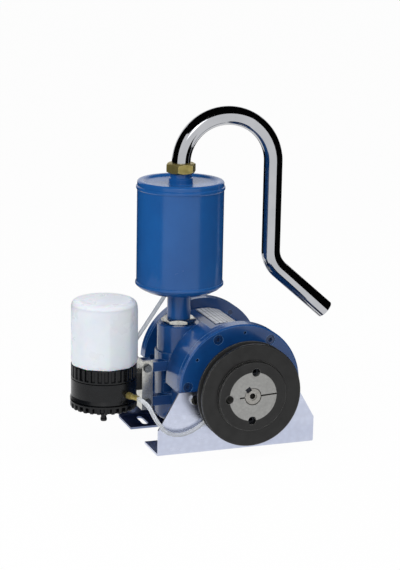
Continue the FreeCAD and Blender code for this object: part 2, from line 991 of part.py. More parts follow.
def screw_ring(label, shape, circle, turns, y, side, mirror=1):
    """Screws on a circle about the shaft line, heads facing away from the pump."""
    shapes = []
    for turn in turns:
        angle = math.radians(float(turn))
        x = float(circle) * math.cos(angle) * mirror
        z = float(d.shaft_height) + float(circle) * math.sin(angle)
        shapes.append(pointed(shape, (x, float(y), z), (0, side, 0)))
    return keep(solid_group(label, shapes))


def end_screws():
    """The screws of both covers, both base plates and both bearing caps."""
    step = FULL_TURN / NUT_SIDES
    cover_turns = [d.screw_angle + step * index for index in range(NUT_SIDES)]
    bolt_turns = (d.base_bolt_upper_angle, d.base_bolt_lower_angle, d.base_bolt_right_angle)
    cap_turns = [d.cap_screw_angle + QUARTER * index for index in range(CAP_SCREWS)]
    grip = d.cover_gauge - d.counterbore_depth + d.gasket_gauge + d.stator_rim
    head = socket_head(
        d.screw_head_radius, d.screw_head_height, d.screw_socket, d.screw_socket_depth
    )
    cover_screw = screw(d.screw_radius, grip, head)
    head = hex_head(d.base_bolt_head, d.base_bolt_head_height)
    base_bolt = screw(d.base_bolt_radius, d.sheet_gauge + d.base_bolt_grip - d.shank_short, head)
    for name, side in (("front", -1), ("rear", 1)):
        seat = (COVER_FACE - d.counterbore_depth) * side
        screw_ring(
            f"{name}_cover_screws", cover_screw, d.screw_circle, cover_turns, seat, side
        )
        seat = HALF_DEPTH * side
        circle = d.base_bolt_circle
        screw_ring(f"{name}_base_bolts", base_bolt, circle, bolt_turns, seat, side, -side)
    shank = float(d.cap_screw_length - d.shank_short)
    radius = float(d.cap_screw_radius)
    sunk = Part.makeCone(radius, float(d.cap_screw_head), float(d.front_cap_gauge))
    flush = screw(radius, shank, sunk)
    screw_ring("front_cap_screws", flush, d.cap_screw_circle, cap_turns, -FRONT_BOSS, -1)
    head = socket_head(
        d.cap_screw_head, d.rear_cap_head_height, d.key_depth, d.rear_cap_head_height / 2
    )
    raised = screw(radius, float(d.rear_cap_gauge) + shank, head)
    seat = REAR_BOSS + d.rear_cap_gauge
    screw_ring("rear_cap_screws", raised, d.cap_screw_circle, cap_turns, seat, 1)


def gasket(name, side):
    """The paper gasket between a cover and the stator."""
    piece = Piece(f"{name}_gasket", z=d.shaft_height)
    sketch = piece.sketch("XZ", -STATOR_END * side)
    piece.ring(sketch, d.cover_radius - d.cover_edge / 2, d.bore_radius + d.bore_drop + d.gasket_inset)
    for step in range(NUT_SIDES):
        angle = d.screw_angle + FULL_TURN / NUT_SIDES * step
        across = d.screw_circle * cosine(angle)
        piece.circle(sketch, across, d.screw_circle * sine(angle), d.screw_radius + d.screw_gap)
    piece.pad(sketch, d.gasket_gauge, backward=side > 0)
    shoulder = d.front_shoulder if side < 0 else d.rear_shoulder
    start = -STATOR_END * side if side > 0 else STATOR_END + d.gasket_gauge
    cover_flats(piece, start, d.gasket_gauge, shoulder)
    return keep(piece)


def bearing_cap(name, side, boss, gauge, radius, hole):
    """A cap over a bearing, with a spigot that holds the outer ring."""
    start = boss * side
    outer = (boss + gauge) * side
    spigot = (boss - d.cap_spigot) * side
    round_out = d.bearing_outer - d.cap_spigot_gap
    corners = [(hole, outer), (radius, outer), (radius, start), (round_out, start)]
    corners += [(round_out, spigot), (d.cap_spigot_inner, spigot)]
    corners += [(d.cap_spigot_inner, start), (hole, start)]
    piece = on_shaft(f"{name}_bearing_cap", corners)
    for step in range(CAP_SCREWS):
        angle = d.cap_screw_angle + QUARTER * step
        across = d.cap_screw_circle * cosine(angle)
        up = d.cap_screw_circle * sine(angle)
        sketch = piece.sketch("XZ", -start if side > 0 else boss + gauge)
        piece.circle(sketch, across, up, d.cap_screw_radius + d.screw_gap)
        piece.pocket(sketch, gauge)
    return piece


def front_bearing_cap():
    """The front cap, countersunk so that its screws lie flush."""
    piece = bearing_cap("front", -1, FRONT_BOSS, d.front_cap_gauge, d.front_cap_radius, d.cap_hole_radius)
    piece.body.Label = "front_bearing_cap_blank"
    made = piece.body
    for step in range(CAP_SCREWS):
        angle = d.cap_screw_angle + QUARTER * step
        sink = bound(
            "Cone",
            f"front_cap_sink_{step}",
            Radius1=d.cap_screw_radius + d.screw_gap,
            Radius2=d.cap_screw_head + d.screw_gap,
            Height=d.front_cap_gauge,
        )
        across = d.cap_screw_circle * cosine(angle)
        up = d.shaft_height + d.cap_screw_circle * sine(angle)
        place(sink, across, -FRONT_BOSS, up, X_AXIS, QUARTER)
        made = joined(f"front_bearing_cap_{step}", "Cut", (made, sink))
    made.Label = "front_bearing_cap"
    return keep(made)


def rotor_shaft():
    """The shaft with its keyway and threaded centre hole at the pulley end."""
    piece = Piece("rotor_shaft", z=d.shaft_height, turn=QUARTER - float(d.key_angle), axis=Y_AXIS)
    sketch = piece.sketch("XY")
    small = d.shaft_radius - d.shaft_edge
    piece.outline(
        sketch,
        [
            (ZERO, -d.shaft_tip),
            (small, -d.shaft_tip),
            (d.shaft_radius, -d.shaft_tip + d.shaft_edge),
            (d.shaft_radius, d.shaft_end - d.shaft_edge),
            (small, d.shaft_end),
            (ZERO, d.shaft_end),
        ],
    )
    piece.revolve(sketch)
    sink = piece.sketch("XZ", d.shaft_tip)
    piece.circle(sink, ZERO, ZERO, d.centre_sink_radius)
    piece.pocket(sink, d.centre_sink_depth)
    hole = piece.sketch("XZ", d.shaft_tip)
    piece.circle(hole, ZERO, ZERO, d.centre_hole_radius)
    piece.pocket(hole, d.centre_hole_depth)
    keyway = piece.sketch("XZ", d.shaft_tip)
    low = d.shaft_radius - d.key_depth
    half = d.key_width / 2
    piece.outline(keyway, box_corners(-half, half, low, d.shaft_radius * 2))
    piece.pocket(keyway, d.key_length)
    return keep(piece)


def shaft_key():
    """The parallel key between the shaft and the bush."""
    piece = Piece("shaft_key", z=d.shaft_height, turn=QUARTER - float(d.key_angle), axis=Y_AXIS)
    start = d.shaft_tip - d.shaft_edge * 2
    sketch = piece.sketch("XZ", start)
    low = d.shaft_radius - d.key_depth
    half = d.key_width / 2
    piece.outline(sketch, box_corners(-half, half, low, low + d.key_height))
    piece.pad(sketch, d.key_length - d.shaft_edge * 2, backward=True)
    return keep(piece)


def rotor_drum():
    """The slotted drum on the shaft."""
    piece = Piece("rotor_drum", z=d.shaft_height)
    length = (STATOR_END - d.end_gap) * 2
    sketch = piece.sketch("XZ")
    piece.ring(sketch, d.rotor_radius, d.shaft_radius)
    piece.pad(sketch, length, both=True)
    slot = piece.sketch("XZ")
    half = d.vane_gauge / 2 + d.vane_gap
    floor = d.vane_edge - d.vane_height - d.vane_gap
    piece.outline(slot, box_corners(-half, half, floor, d.rotor_radius * 1.2))
    first = piece.pocket(slot, length, both=True)
    piece.polar(first, slot, 4)
    return keep(piece)


def vane(index):
    """One flat vane, resting flush in its slot."""
    piece = Piece(f"vane_{index}", z=d.shaft_height, turn=QUARTER * index, axis=Y_AXIS)
    sketch = piece.sketch("XZ")
    half = d.vane_gauge / 2
    piece.outline(sketch, box_corners(-half, half, d.vane_edge - d.vane_height, d.vane_edge))
    piece.pad(sketch, (STATOR_END - d.end_gap) * 2, both=True)
    return keep(piece)


def bearing_ring(label, plain, rim, floor, middle):
    """A bearing ring from its plain side to its rim, with a race cut to a floor."""
    half = d.bearing_gauge / 2
    race = [(rim, -d.race_mouth), (floor, -d.race_floor), (floor, d.race_floor)]
    corners = [(plain, -half), (rim, -half), *race, (rim, d.race_mouth), (rim, half), (plain, half)]
    return keep(on_shaft(label, [(radius, middle + along) for radius, along in corners]))


def bearing(name, side, boss):
    """A deep-groove ball bearing: two rings, the balls and their cage."""
    middle = (boss - d.cap_spigot - d.bearing_gauge / 2) * side
    outer_floor = d.race_pitch + d.race_radius
    inner_floor = d.race_pitch - d.race_radius
    name_outer, name_inner = f"{name}_bearing_outer_ring", f"{name}_bearing_inner_ring"
    bearing_ring(name_outer, d.bearing_outer, d.outer_ring_inner, outer_floor, middle)
    bearing_ring(name_inner, d.shaft_radius, d.inner_ring_outer, inner_floor, middle)
    cage = Part.makeCylinder(float(d.cage_outer), float(d.cage_gauge))
    cage = cage.cut(Part.makeCylinder(float(d.cage_inner), float(d.cage_gauge)))
    cage = pointed(cage, (0, -float(d.cage_gauge) / 2, 0), (0, 1, 0))
    balls = []
    for index in range(int(d.ball_count.value)):
        angle = 2 * math.pi * index / d.ball_count.value
        pitch = d.race_pitch.value
        centre = Vector(pitch * math.cos(angle), 0, pitch * math.sin(angle))
        balls.append(Part.makeSphere(float(d.ball_radius), centre))
        seat = float(d.ball_radius) + float(d.cage_gap)
        cage = cage.cut(Part.makeCylinder(seat, float(d.race_pitch), centre * 0.5, centre))
    home = Vector(0, float(middle), float(d.shaft_height))
    cage.translate(home)
    for ball in balls:
        ball.translate(home)
    keep(solid_group(f"{name}_bearing_cage", [cage]))
    keep(solid_group(f"{name}_bearing_balls", balls))


def shaft_seal():
    """The lip seal behind the front bearing."""
    start = FRONT_BOSS - d.bearing_gauge - d.cap_spigot
    corners = [
        (d.shaft_radius + d.seal_gap, -start + d.seal_gap),
        (d.seal_outer, -start + d.seal_gap),
        (d.seal_outer, -start + d.seal_gauge),
        (d.shaft_radius + 2, -start + d.seal_gauge),
        (d.shaft_radius + 2, -start + 2),
        (d.shaft_radius + d.seal_gap, -start + 2),
    ]
    return keep(on_shaft("front_shaft_seal", corners))


def taper_radius(depth):
    """Radius of the bush cone at a depth behind its face."""
    half = math.radians(float(d.bush_taper))
    drop = f"({as_size(depth).text}) * tan(dims.bush_taper * 1 deg)"
    return d.bush_radius - Size(float(depth) * math.tan(half), drop)


def screw_pocket(name, turn, radius, start, length):
    """A cylinder along the shaft line on the joint between bush and hub."""
    made = bound("Cylinder", name, Radius=radius, Height=length)
    across = d.bush_radius * cosine(turn)
    up = d.shaft_height + d.bush_radius * sine(turn)
    return place(made, across, start, up, X_AXIS, -QUARTER)


def bush_holes(prefix):
    """The three half holes on the joint, for cutting the bush or the hub."""
    face = -(d.pulley_face + d.hub_raise)
    turns = (d.bush_hole_upper_angle, d.bush_hole_far_angle, d.bush_hole_lower_angle)
    return [
        screw_pocket(f"{prefix}_{index}", turn, d.bush_hole_radius, face, d.bush_hole_depth)
        for index, turn in enumerate(turns)
    ]


def pulley():
    """The one-groove pulley with a raised hub and a tapered bore."""
    face = -d.pulley_face
    hub_face = face - d.hub_raise
    back = face + d.pulley_width
    hub_back = hub_face + d.bush_length
    rim = d.pulley_radius
    centre = face + d.pulley_width / 2
    floor = rim - d.groove_depth
    corners = [
        (taper_radius(ZERO), hub_face),
        (d.hub_radius - d.hub_edge, hub_face),
        (d.hub_radius, hub_face + d.hub_edge),
        (d.hub_radius, face),
        (rim - d.pulley_edge, face),
        (rim, face + d.pulley_edge),
        (rim, centre - d.groove_top / 2),
        (floor, centre - d.groove_floor / 2),
        (floor, centre + d.groove_floor / 2),
        (rim, centre + d.groove_top / 2),
        (rim, back - d.pulley_edge),
        (rim - d.pulley_edge, back),
        (d.hub_back_radius, back),
        (d.hub_back_radius, hub_back),
        (taper_radius(d.bush_length), hub_back),
    ]
    blank = on_shaft("pulley_blank", corners)
    made = blank.body
    for index, hole in enumerate(bush_holes("hub_half_hole")):
        made = joined(f"pulley_{index}", "Cut", (made, hole))
    made.Label = "pulley"
    return keep(made)


def taper_bush():
    """The split taper bush: cone, bore, keyway, half holes, split and slit."""
    face = -(d.pulley_face + d.hub_raise)
    back = face + d.bush_length
    corners = [
        (d.shaft_radius, face),
        (taper_radius(ZERO), face),
        (taper_radius(d.bush_length), back),
        (d.shaft_radius, back),
    ]
    made = on_shaft("taper_bush_blank", corners).body
    cuts = bush_holes("bush_half_hole")
    reach = d.bush_radius * 2
    low = d.shaft_radius - d.key_depth
    for name, turn, width, inside, outside in (
        ("split", d.bush_angle, d.bush_split, ZERO, reach),
        ("slit", d.bush_angle + FULL_TURN / 2, d.bush_split, ZERO, d.bush_slit_reach),
        ("keyway", d.key_angle, d.key_width, ZERO, low + d.key_height),
    ):
        bar = bound("Box", f"bush_{name}", Length=outside - inside, Width=reach, Height=width)
        across = width / 2 * sine(turn)
        up = d.shaft_height - width / 2 * cosine(turn)
        place(bar, across, face - d.bush_cut_start, up, Y_AXIS, -float(turn))
        cuts.append(bar)
    for index, cut in enumerate(cuts):
        made = joined(f"taper_bush_{index}", "Cut", (made, cut))
    made.Label = "taper_bush"
    return keep(made)


def bush_screws():
    """The two set screws that draw the bush into the hub."""
    face = -(d.pulley_face + d.hub_raise)
    length = float(d.bush_screw_length)
    blank = Part.makeCylinder(float(d.bush_hole_radius - d.bush_screw_gap), length)
    socket = prism(corner_of(d.bush_screw_socket), length / 2)
    socket.translate(Vector(0, 0, length / 2))
    blank = blank.cut(socket)
    shapes = []
    for turn in (d.bush_hole_upper_angle, d.bush_hole_lower_angle):
        x = float(d.bush_radius * cosine(turn))
        z = float(d.shaft_height + d.bush_radius * sine(turn))
        depth = d.bush_hole_depth
        shapes.append(pointed(blank, (x, float(face + depth), z), (0, -1, 0)))
    return keep(solid_group("bush_screws", shapes))


def hex_piece(label, flats, height, bore, foot, x=ZERO, y=ZERO):
    """An upright hexagon nut with both faces chamfered."""
    corner = d_corner(flats)
    blank = bound("Prism", f"{label}_prism", Circumradius=corner, Height=height)
    blank.Polygon = NUT_SIDES
    place(blank, x, y, foot)
    edge = height / 6
    small = flats / 2
    middle = turned(
        f"{label}_round",
        [(bore, foot), (small, foot), (corner, foot + edge), (corner, foot + height - edge)]
        + [(small, foot + height), (bore, foot + height)],
        x,
        y,
        upright=True,
    )
    return keep(joined(label, "MultiCommon", [blank, middle.body]))


def d_corner(flats):
    """Corner radius of a hexagon as a bound size."""
    return flats / 2 / cosine(FULL_TURN / NUT_SIDES / 2)


def silencer():
    """Stem, locknut, can, core, neck and nut of the silencer."""
    stem_inner = d.stem_radius - d.stem_wall
    stem_foot = PORT_TOP - d.port_thread_depth
    on = on_tank
    keep(
        on(
            "exhaust_stem",
            box_corners(stem_inner, d.stem_radius, stem_foot, CAN_BOTTOM + d.stem_grip),
        )
    )
    bore = d.stem_radius + d.pipe_gap
    hex_piece("stem_locknut", d.locknut_flats, d.locknut_height, bore, PORT_TOP, d.tank_x, d.tank_y)
    outer, inner = d.can_radius, d.can_radius - d.can_wall
    swell, land = outer + d.seam_swell, outer - d.can_rim_land
    neck_seat = d.neck_radius + d.neck_seat_margin
    low, high = LOWER_SEAM, UPPER_SEAM
    keep(on("silencer_shell", box_corners(inner, outer, low, high)))
    keep(
        on(
            "silencer_bottom",
            [
                (bore, CAN_BOTTOM),
                (d.can_foot_radius, CAN_BOTTOM),
                (outer - d.can_turn_in, low - d.seam_half * 2),
                (swell, low - d.seam_half),
                (swell, low + d.seam_half),
                (outer, low + d.seam_half),
                (outer, low),
                (inner - d.can_turn_in, low),
                (d.can_foot_radius - d.can_turn_in, CAN_BOTTOM + d.can_wall),
                (bore, CAN_BOTTOM + d.can_wall),
            ],
        )
    )
    keep(
        on(
            "silencer_top",
            [
                (d.neck_step_radius, CAN_TOP - d.can_wall),
                (neck_seat, CAN_TOP - d.can_wall),
                (land - d.can_rim_drop, CAN_RIM - d.can_rim_drop - d.can_wall),
                (inner - d.can_wall, CAN_RIM - d.can_rim_drop - d.can_wall),
                (inner - d.can_wall, high),
                (outer, high),
                (outer, high - d.seam_half),
                (swell, high - d.seam_half),
                (swell, high + d.seam_half),
                (outer, high + d.seam_half * 2),
                (outer, CAN_RIM - d.can_wall),
                (outer - d.can_wall, CAN_RIM),
                (land, CAN_RIM),
                (land - d.can_rim_drop, CAN_RIM - d.can_rim_drop),
                (neck_seat, CAN_TOP),
                (d.neck_step_radius, CAN_TOP),
            ],
        )
    )
    core_foot = CAN_BOTTOM + d.can_wall
    core = Piece("silencer_core", d.tank_x, d.tank_y, core_foot)
    sketch = core.sketch("XY")
    core.ring(sketch, d.core_radius, d.core_radius - d.core_wall)
    core.pad(sketch, CAN_TOP - d.can_wall - core_foot)
    for level in range(1, 5):
        hole = core.sketch("XZ")
        core.circle(hole, ZERO, (high - low) / 5 * level, d.core_hole_radius)
        core.pocket(hole, d.core_radius * 2 + 2, both=True)
    keep(core)
    keep(
        on(
            "silencer_neck",
            [
                (d.pipe_radius + d.pipe_gap, CAN_TOP - d.can_wall),
                (d.neck_step_radius, CAN_TOP - d.can_wall),
                (d.neck_step_radius, CAN_TOP),
                (d.neck_radius, CAN_TOP),
                (d.neck_radius, CAN_TOP + d.neck_step),
                (d.neck_step_radius, CAN_TOP + d.neck_step),
                (d.neck_step_radius, NECK_TOP),
                (d.pipe_radius + d.pipe_gap, NECK_TOP),
            ],
        )
    )
    hex_piece(
        "brass_nut",
        d.brass_nut_flats,
        d.brass_nut_height,
        d.pipe_radius + d.pipe_gap,
        NECK_TOP,
        d.tank_x,
        d.tank_y,
    )


def exhaust_pipe():
    """The bent pipe: up, over a half circle, down and out through an elbow."""
    piece = Piece("exhaust_pipe", d.tank_x, d.tank_y, turn=float(d.pipe_angle))
    path = piece.sketch("XZ")
    arch = float(d.pipe_arch_radius)
    spring = float(NUT_TOP)
    far = arch * 2
    pipe_foot = CAN_TOP + d.pipe_foot_gap
    elbow_height = NUT_TOP - d.pipe_fall
    tip_reach = d.pipe_arch_radius * 2 + d.pipe_tip_reach
    tip_height = elbow_height - d.pipe_tip_drop
    elbow_x, elbow_z = far, float(elbow_height)
    run_x, run_z = float(d.pipe_tip_reach), -float(d.pipe_tip_drop)
    run = math.hypot(run_x, run_z)
    turn = math.acos(-run_z / run)
    reach = float(d.pipe_elbow_radius) * math.tan(turn / 2)
    bend_start = Vector(far, elbow_z + reach, 0)
    bend_end = Vector(elbow_x + run_x / run * reach, elbow_z + run_z / run * reach, 0)
    tip = Vector(float(tip_reach), float(tip_height), 0)
    elbow_centre = Vector(far + float(d.pipe_elbow_radius), elbow_z + reach, 0)
    foot = Vector(0, float(pipe_foot), 0)
    left, right = Vector(0, spring, 0), Vector(far, spring, 0)
    crown = Part.Circle(Vector(arch, spring, 0), Vector(0, 0, 1), arch)
    elbow = Part.Circle(elbow_centre, Vector(0, 0, 1), float(d.pipe_elbow_radius))
    rise = path.addGeometry(Part.LineSegment(foot, left), False)
    over = path.addGeometry(Part.ArcOfCircle(crown, 0, math.pi), False)
    fall = path.addGeometry(Part.LineSegment(right, bend_start), False)
    bend = path.addGeometry(Part.ArcOfCircle(elbow, math.pi, math.pi + turn), False)
    out = path.addGeometry(Part.LineSegment(bend_end, tip), False)
    hold(path, rise, 1, ZERO, pipe_foot)
    hold(path, rise, 2, ZERO, NUT_TOP)
    path.addConstraint(Sketcher.Constraint("Tangent", rise, 2, over, 2))
    held = path.addConstraint(Sketcher.Constraint("Radius", over, arch))
    path.setExpression(f"Constraints[{held}]", d.pipe_arch_radius.text)
    path.addConstraint(Sketcher.Constraint("Tangent", over, 1, fall, 1))
    path.addConstraint(Sketcher.Constraint("Vertical", fall))
    path.addConstraint(Sketcher.Constraint("Tangent", fall, 2, bend, 1))
    held = path.addConstraint(Sketcher.Constraint("Radius", bend, elbow.Radius))
    path.setExpression(f"Constraints[{held}]", d.pipe_elbow_radius.text)
    path.addConstraint(Sketcher.Constraint("Tangent", bend, 2, out, 1))
    hold(path, out, 2, tip_reach, tip_height)
    mouth = piece.sketch("XY", pipe_foot)
    piece.ring(mouth, d.pipe_radius, d.pipe_radius - d.pipe_wall)
    made = piece.body.newObject("PartDesign::AdditivePipe", "exhaust_pipe_sweep")
    made.Profile = mouth
    made.Spine = path
    made.Mode = "Frenet"
    return keep(piece)


def lubricator():
    """Bottle, rings, body, spigot and bracket of the oil feed."""
    wall = d.bottle_wall
    neck = d.bottle_neck_radius
    foot_round = BOTTLE_FOOT + d.bottle_foot_rise
    shoulder = BOTTLE_TOP - d.bottle_shoulder_drop
    keep(
        on_oiler(
            "oil_reservoir",
            [
                (neck - wall, BOTTLE_FOOT - d.bottle_neck_length),
                (neck, BOTTLE_FOOT - d.bottle_neck_length),
                (neck, BOTTLE_FOOT),
                (d.bottle_foot_radius, BOTTLE_FOOT),
                (d.bottle_radius, foot_round),
                (d.bottle_upper_radius, shoulder),
                (d.bottle_top_radius, BOTTLE_TOP),
                (ZERO, BOTTLE_TOP),
                (ZERO, BOTTLE_TOP - wall),
                (d.bottle_top_radius - wall, BOTTLE_TOP - wall),
                (d.bottle_upper_radius - wall, shoulder - wall / 2),
                (d.bottle_radius - wall, foot_round + wall / 2),
                (d.bottle_foot_radius - wall, BOTTLE_FOOT + wall),
                (neck - wall, BOTTLE_FOOT + wall),
            ],
        )
    )
    keep(
        on_oiler(
            "upper_ring",
            box_corners(d.ring_bore, d.ring_radius, BODY_TOP, BOTTLE_FOOT),
        )
    )
    blank = Piece("oiler_body_blank", d.oiler_x, d.oiler_y)
    sketch = blank.sketch("XZ")
    blank.outline(
        sketch,
        [
            (ZERO, WAIST_FOOT),
            (d.oiler_waist_radius, WAIST_FOOT),
            (d.oiler_waist_radius, d.oiler_foot),
            (d.oiler_flare, d.oiler_foot),
            (d.ring_radius, d.oiler_foot + d.oiler_flare_height),
            (d.ring_radius, BODY_TOP),
            (ZERO, BODY_TOP),
        ],
    )
    blank.revolve(sketch)
    lug = blank.sketch("XY", d.oiler_foot + d.lug_rise)
    edges = box_corners(
        d.ring_radius / 2,
        d.lug_face - d.oiler_x,
        d.lug_front - d.oiler_y,
        d.lug_back - d.oiler_y,
    )
    blank.outline(lug, edges)
    blank.pad(lug, d.lug_height)
    face = blank.sketch("YZ", d.lug_face - d.oiler_x)
    for level in OILER_SCREWS:
        radius = d.bracket_bolt_radius + d.screw_gap
        blank.circle(face, d.oiler_screw_y - d.oiler_y, level, radius)
    blank.pocket(face, d.oiler_screw_length)
    made = blank.body
    for name, turn in (("front", d.front_barb_angle), ("rear", d.rear_barb_angle)):
        bore = bound(
            "Cylinder",
            f"oiler_{name}_bore",
            Radius=d.barb_thread_radius + d.screw_gap,
            Height=d.barb_thread_length * 2,
        )
        start = d.ring_radius - d.barb_thread_length
        across = d.oiler_x + start * cosine(turn)
        along = d.oiler_y + start * sine(turn)
        angle = math.radians(turn.value)
        hinge = Vector(-math.sin(angle), math.cos(angle), 0)
        place(bore, across, along, d.oiler_foot + d.barb_rise, hinge, QUARTER)
        made = joined(f"oiler_body_{name}", "Cut", (made, bore))
    made.Label = "oiler_body"
    keep(made)
    keep(
        on_oiler(
            "drain_ring",
            box_corners(ZERO, d.drain_ring_radius, DRAIN_FOOT, WAIST_FOOT),
        )
    )
    keep(
        on_oiler(
            "drain_spigot",
            box_corners(ZERO, d.spigot_radius, DRAIN_FOOT - d.spigot_length, DRAIN_FOOT),
        )
    )


def oiler_bracket():
    """The angle bracket with its bolts, washers and screws."""
    piece = Piece("oiler_bracket", z=d.bracket_foot)
    sketch = piece.sketch("XY")
    left, front, gauge = d.lug_face, d.bracket_front, d.bracket_gauge
    piece.outline(
        sketch,
        [
            (left, front),
            (d.bracket_right, front),
            (d.bracket_right, front + gauge),
            (left + gauge, front + gauge),
            (left + gauge, d.bracket_back),
            (left, d.bracket_back),
        ],
    )
    piece.pad(sketch, d.bracket_top - d.bracket_foot)
    radius = d.bracket_bolt_radius + d.screw_gap
    holes = piece.sketch("XZ", -front)
    for level in (d.bracket_bolt_low, d.bracket_bolt_high):
        piece.circle(holes, d.bracket_bolt_x, level - d.bracket_foot, radius)
    piece.pocket(holes, gauge)
    sides = piece.sketch("YZ", left + gauge)
    for level in OILER_SCREWS:
        piece.circle(sides, d.oiler_screw_y, level - d.bracket_foot, radius)
    piece.pocket(sides, gauge)
    keep(piece)
    head = hex_head(d.bracket_bolt_head, d.bracket_bolt_head_height)
    length = d.bracket_bolt_length + gauge + d.washer_gauge - d.shank_short
    bolt = screw(d.bracket_bolt_radius, length, head)
    washer = Part.makeCylinder(float(d.washer_radius), float(d.washer_gauge))
    hole = Part.makeCylinder(float(radius), float(d.washer_gauge))
    washer = washer.cut(hole)
    bolts, washers = [], []
    for level in (d.bracket_bolt_low, d.bracket_bolt_high):
        seat = (float(d.bracket_bolt_x), float(front), float(level))
        washers.append(pointed(washer, seat, (0, -1, 0)))
        seat = (seat[0], float(front - d.washer_gauge), seat[2])
        bolts.append(pointed(bolt, seat, (0, -1, 0)))
    keep(solid_group("bracket_bolts", bolts))
    keep(solid_group("bracket_washers", washers))
    oiler_screw = screw(d.bracket_bolt_radius, d.oiler_screw_length + gauge - d.shank_short, head)
    shapes = [
        pointed(oiler_screw, (float(left + gauge), float(d.oiler_screw_y), float(level)), (1, 0, 0))
        for level in OILER_SCREWS
    ]
    keep(solid_group("oiler_screws", shapes))


def barb(label, seat, direction):
    """A hose barb standing on its seat: thread, hexagon and nipple."""
    thread = Part.makeCylinder(
        float(d.barb_thread_radius),
        float(d.barb_thread_length),
        Vector(0, 0, -float(d.barb_thread_length)),
    )
    hexagon = prism(corner_of(d.barb_hex_flats), float(d.barb_hex_height))
    nipple = Part.makeCylinder(
        float(d.barb_radius), float(d.barb_grip), Vector(0, 0, float(d.barb_hex_height))
    )
    made = thread.fuse(hexagon).fuse(nipple).removeSplitter()
    return keep(solid_group(label, [pointed(made, seat, direction)]))


def bend_radii(points):
    """Arc radius at each inner point of a route, as wide as the runs beside it leave room for."""
    radii = []
    for before, here, after in zip(points, points[1:], points[2:]):
        first, second = here - before, after - here
        half = first.getAngle(second) / 2
        radii.append(BEND_SHARE * min(first.Length, second.Length) / math.tan(half))
    return radii


def route_wire(points):
    """Straight runs joined by tangent arcs through the route points."""
    edges, start = [], points[0]
    for before, here, after, radius in zip(points, points[1:], points[2:], bend_radii(points)):
        first = (here - before).normalize()
        second = (after - here).normalize()
        half = first.getAngle(second) / 2
        reach = radius * math.tan(half)
        entry, leave = here - first * reach, here + second * reach
        inward = (second - first).normalize()
        middle = here + inward * (radius / math.cos(half) - radius)
        edges.append(Part.LineSegment(start, entry).toShape())
        edges.append(Part.Arc(entry, middle, leave).toShape())
        start = leave
    edges.append(Part.LineSegment(start, points[-1]).toShape())
    return Part.Wire(edges)


def hose(label, points):
    """A clear hose along its route."""
    points = [Vector(*point) for point in points]
    wire = route_wire(points)
    first = (points[1] - points[0]).normalize()
    shapes = []
    for radius in (d.hose_radius, d.hose_bore):
        circle = Part.Wire(Part.Circle(points[0], first, float(radius)).toShape())
        sweep = Part.BRepOffsetAPI.MakePipeShell(wire)
        sweep.setFrenetMode(True)
        sweep.add(circle)
        sweep.build()
        sweep.makeSolid()
        shapes.append(sweep.shape())
    tube = shapes[0].cut(shapes[1])
    area = math.pi * (float(d.hose_radius) ** 2 - float(d.hose_bore) ** 2)
    expected = area * wire.Length
    radii = ", ".join(f"{radius:.1f}" for radius in bend_radii(points))
    print(f"{label}: length {wire.Length:.1f}, radii {radii}, volume {tube.Volume:.1f} of {expected:.1f}")
    if abs(tube.Volume - expected) > expected * VOLUME_SLACK:
        raise ValueError(f"{label} is not its section times its length")
    return keep(solid_group(label, [tube]))


def oil_lines():
    """Both oil hoses with the barbs at their ends."""
    height = float(d.oiler_foot + d.barb_rise)
    stand = float(d.barb_hex_height)
    ends = {}
    for name, turn in (("front", d.front_barb_angle), ("rear", d.rear_barb_angle)):
        angle = math.radians(turn.value)
        direction = Vector(math.cos(angle), math.sin(angle), 0)
        middle = Vector(float(d.oiler_x), float(d.oiler_y), height)
        seat = middle + direction * float(d.ring_radius)
        barb(f"{name}_oiler_barb", seat, direction)
        ends[name] = (seat + direction * stand, direction)
    targets = {}
    for name, turn, along, boss in (
        ("front", d.front_fitting_angle, d.front_fitting_y, d.front_boss_radius),
        ("rear", d.rear_fitting_angle, d.rear_fitting_y, d.rear_boss_radius),
    ):
        angle = math.radians(turn.value)
        direction = Vector(math.cos(angle), 0, math.sin(angle))
        middle = Vector(0, float(along), float(d.shaft_height))
        seat = middle + direction * float(boss)
        barb(f"{name}_hose_fitting", seat, direction)
        targets[name] = (seat + direction * stand, direction)
    start, way = ends["front"]
    finish, back = targets["front"]
    lead, tail = float(d.front_hose_lead), float(d.front_hose_tail)
    route = [start, start + way * lead, *FRONT_HOSE_SAG, finish + back * tail, finish]
    hose("front_oil_hose", route)
    start, way = ends["rear"]
    finish, back = targets["rear"]
    lead, tail = float(d.rear_hose_lead), float(d.rear_hose_tail)
    bends = (*REAR_HOSE_CLIMB, *REAR_HOSE_CREST)
    route = [start, start + way * lead, *bends, finish + back * tail, finish]
    hose("rear_oil_hose", route)


def nameplate():
    """The bare plate that lies round the barrel, and its two rivets."""
    last_turn = d.nameplate_angle + d.nameplate_span_angle
    piece = Piece("nameplate", z=d.shaft_height, turn=-float(last_turn), axis=Y_AXIS)
    sketch = piece.sketch("XY")
    low = d.stator_radius + d.nameplate_gap
    high = low + d.nameplate_gauge
    front, back = d.nameplate_front, d.nameplate_front + d.nameplate_length
    piece.outline(sketch, box_corners(low, high, front, back))
    piece.revolve(sketch, d.nameplate_span_angle)
    keep(piece)
    middle = math.radians(float(d.nameplate_angle) + float(d.nameplate_span_angle) / 2)
    radial = Vector(math.cos(middle), 0, math.sin(middle))
    dome = Part.makeCylinder(float(d.rivet_radius), float(d.rivet_height))
    shapes = []
    for along in (front + d.rivet_inset, back - d.rivet_inset):
        seat = Vector(0, float(along), float(d.shaft_height)) + radial * float(high)
        shapes.append(pointed(dome, seat, radial))
    keep(solid_group("nameplate_rivets", shapes))


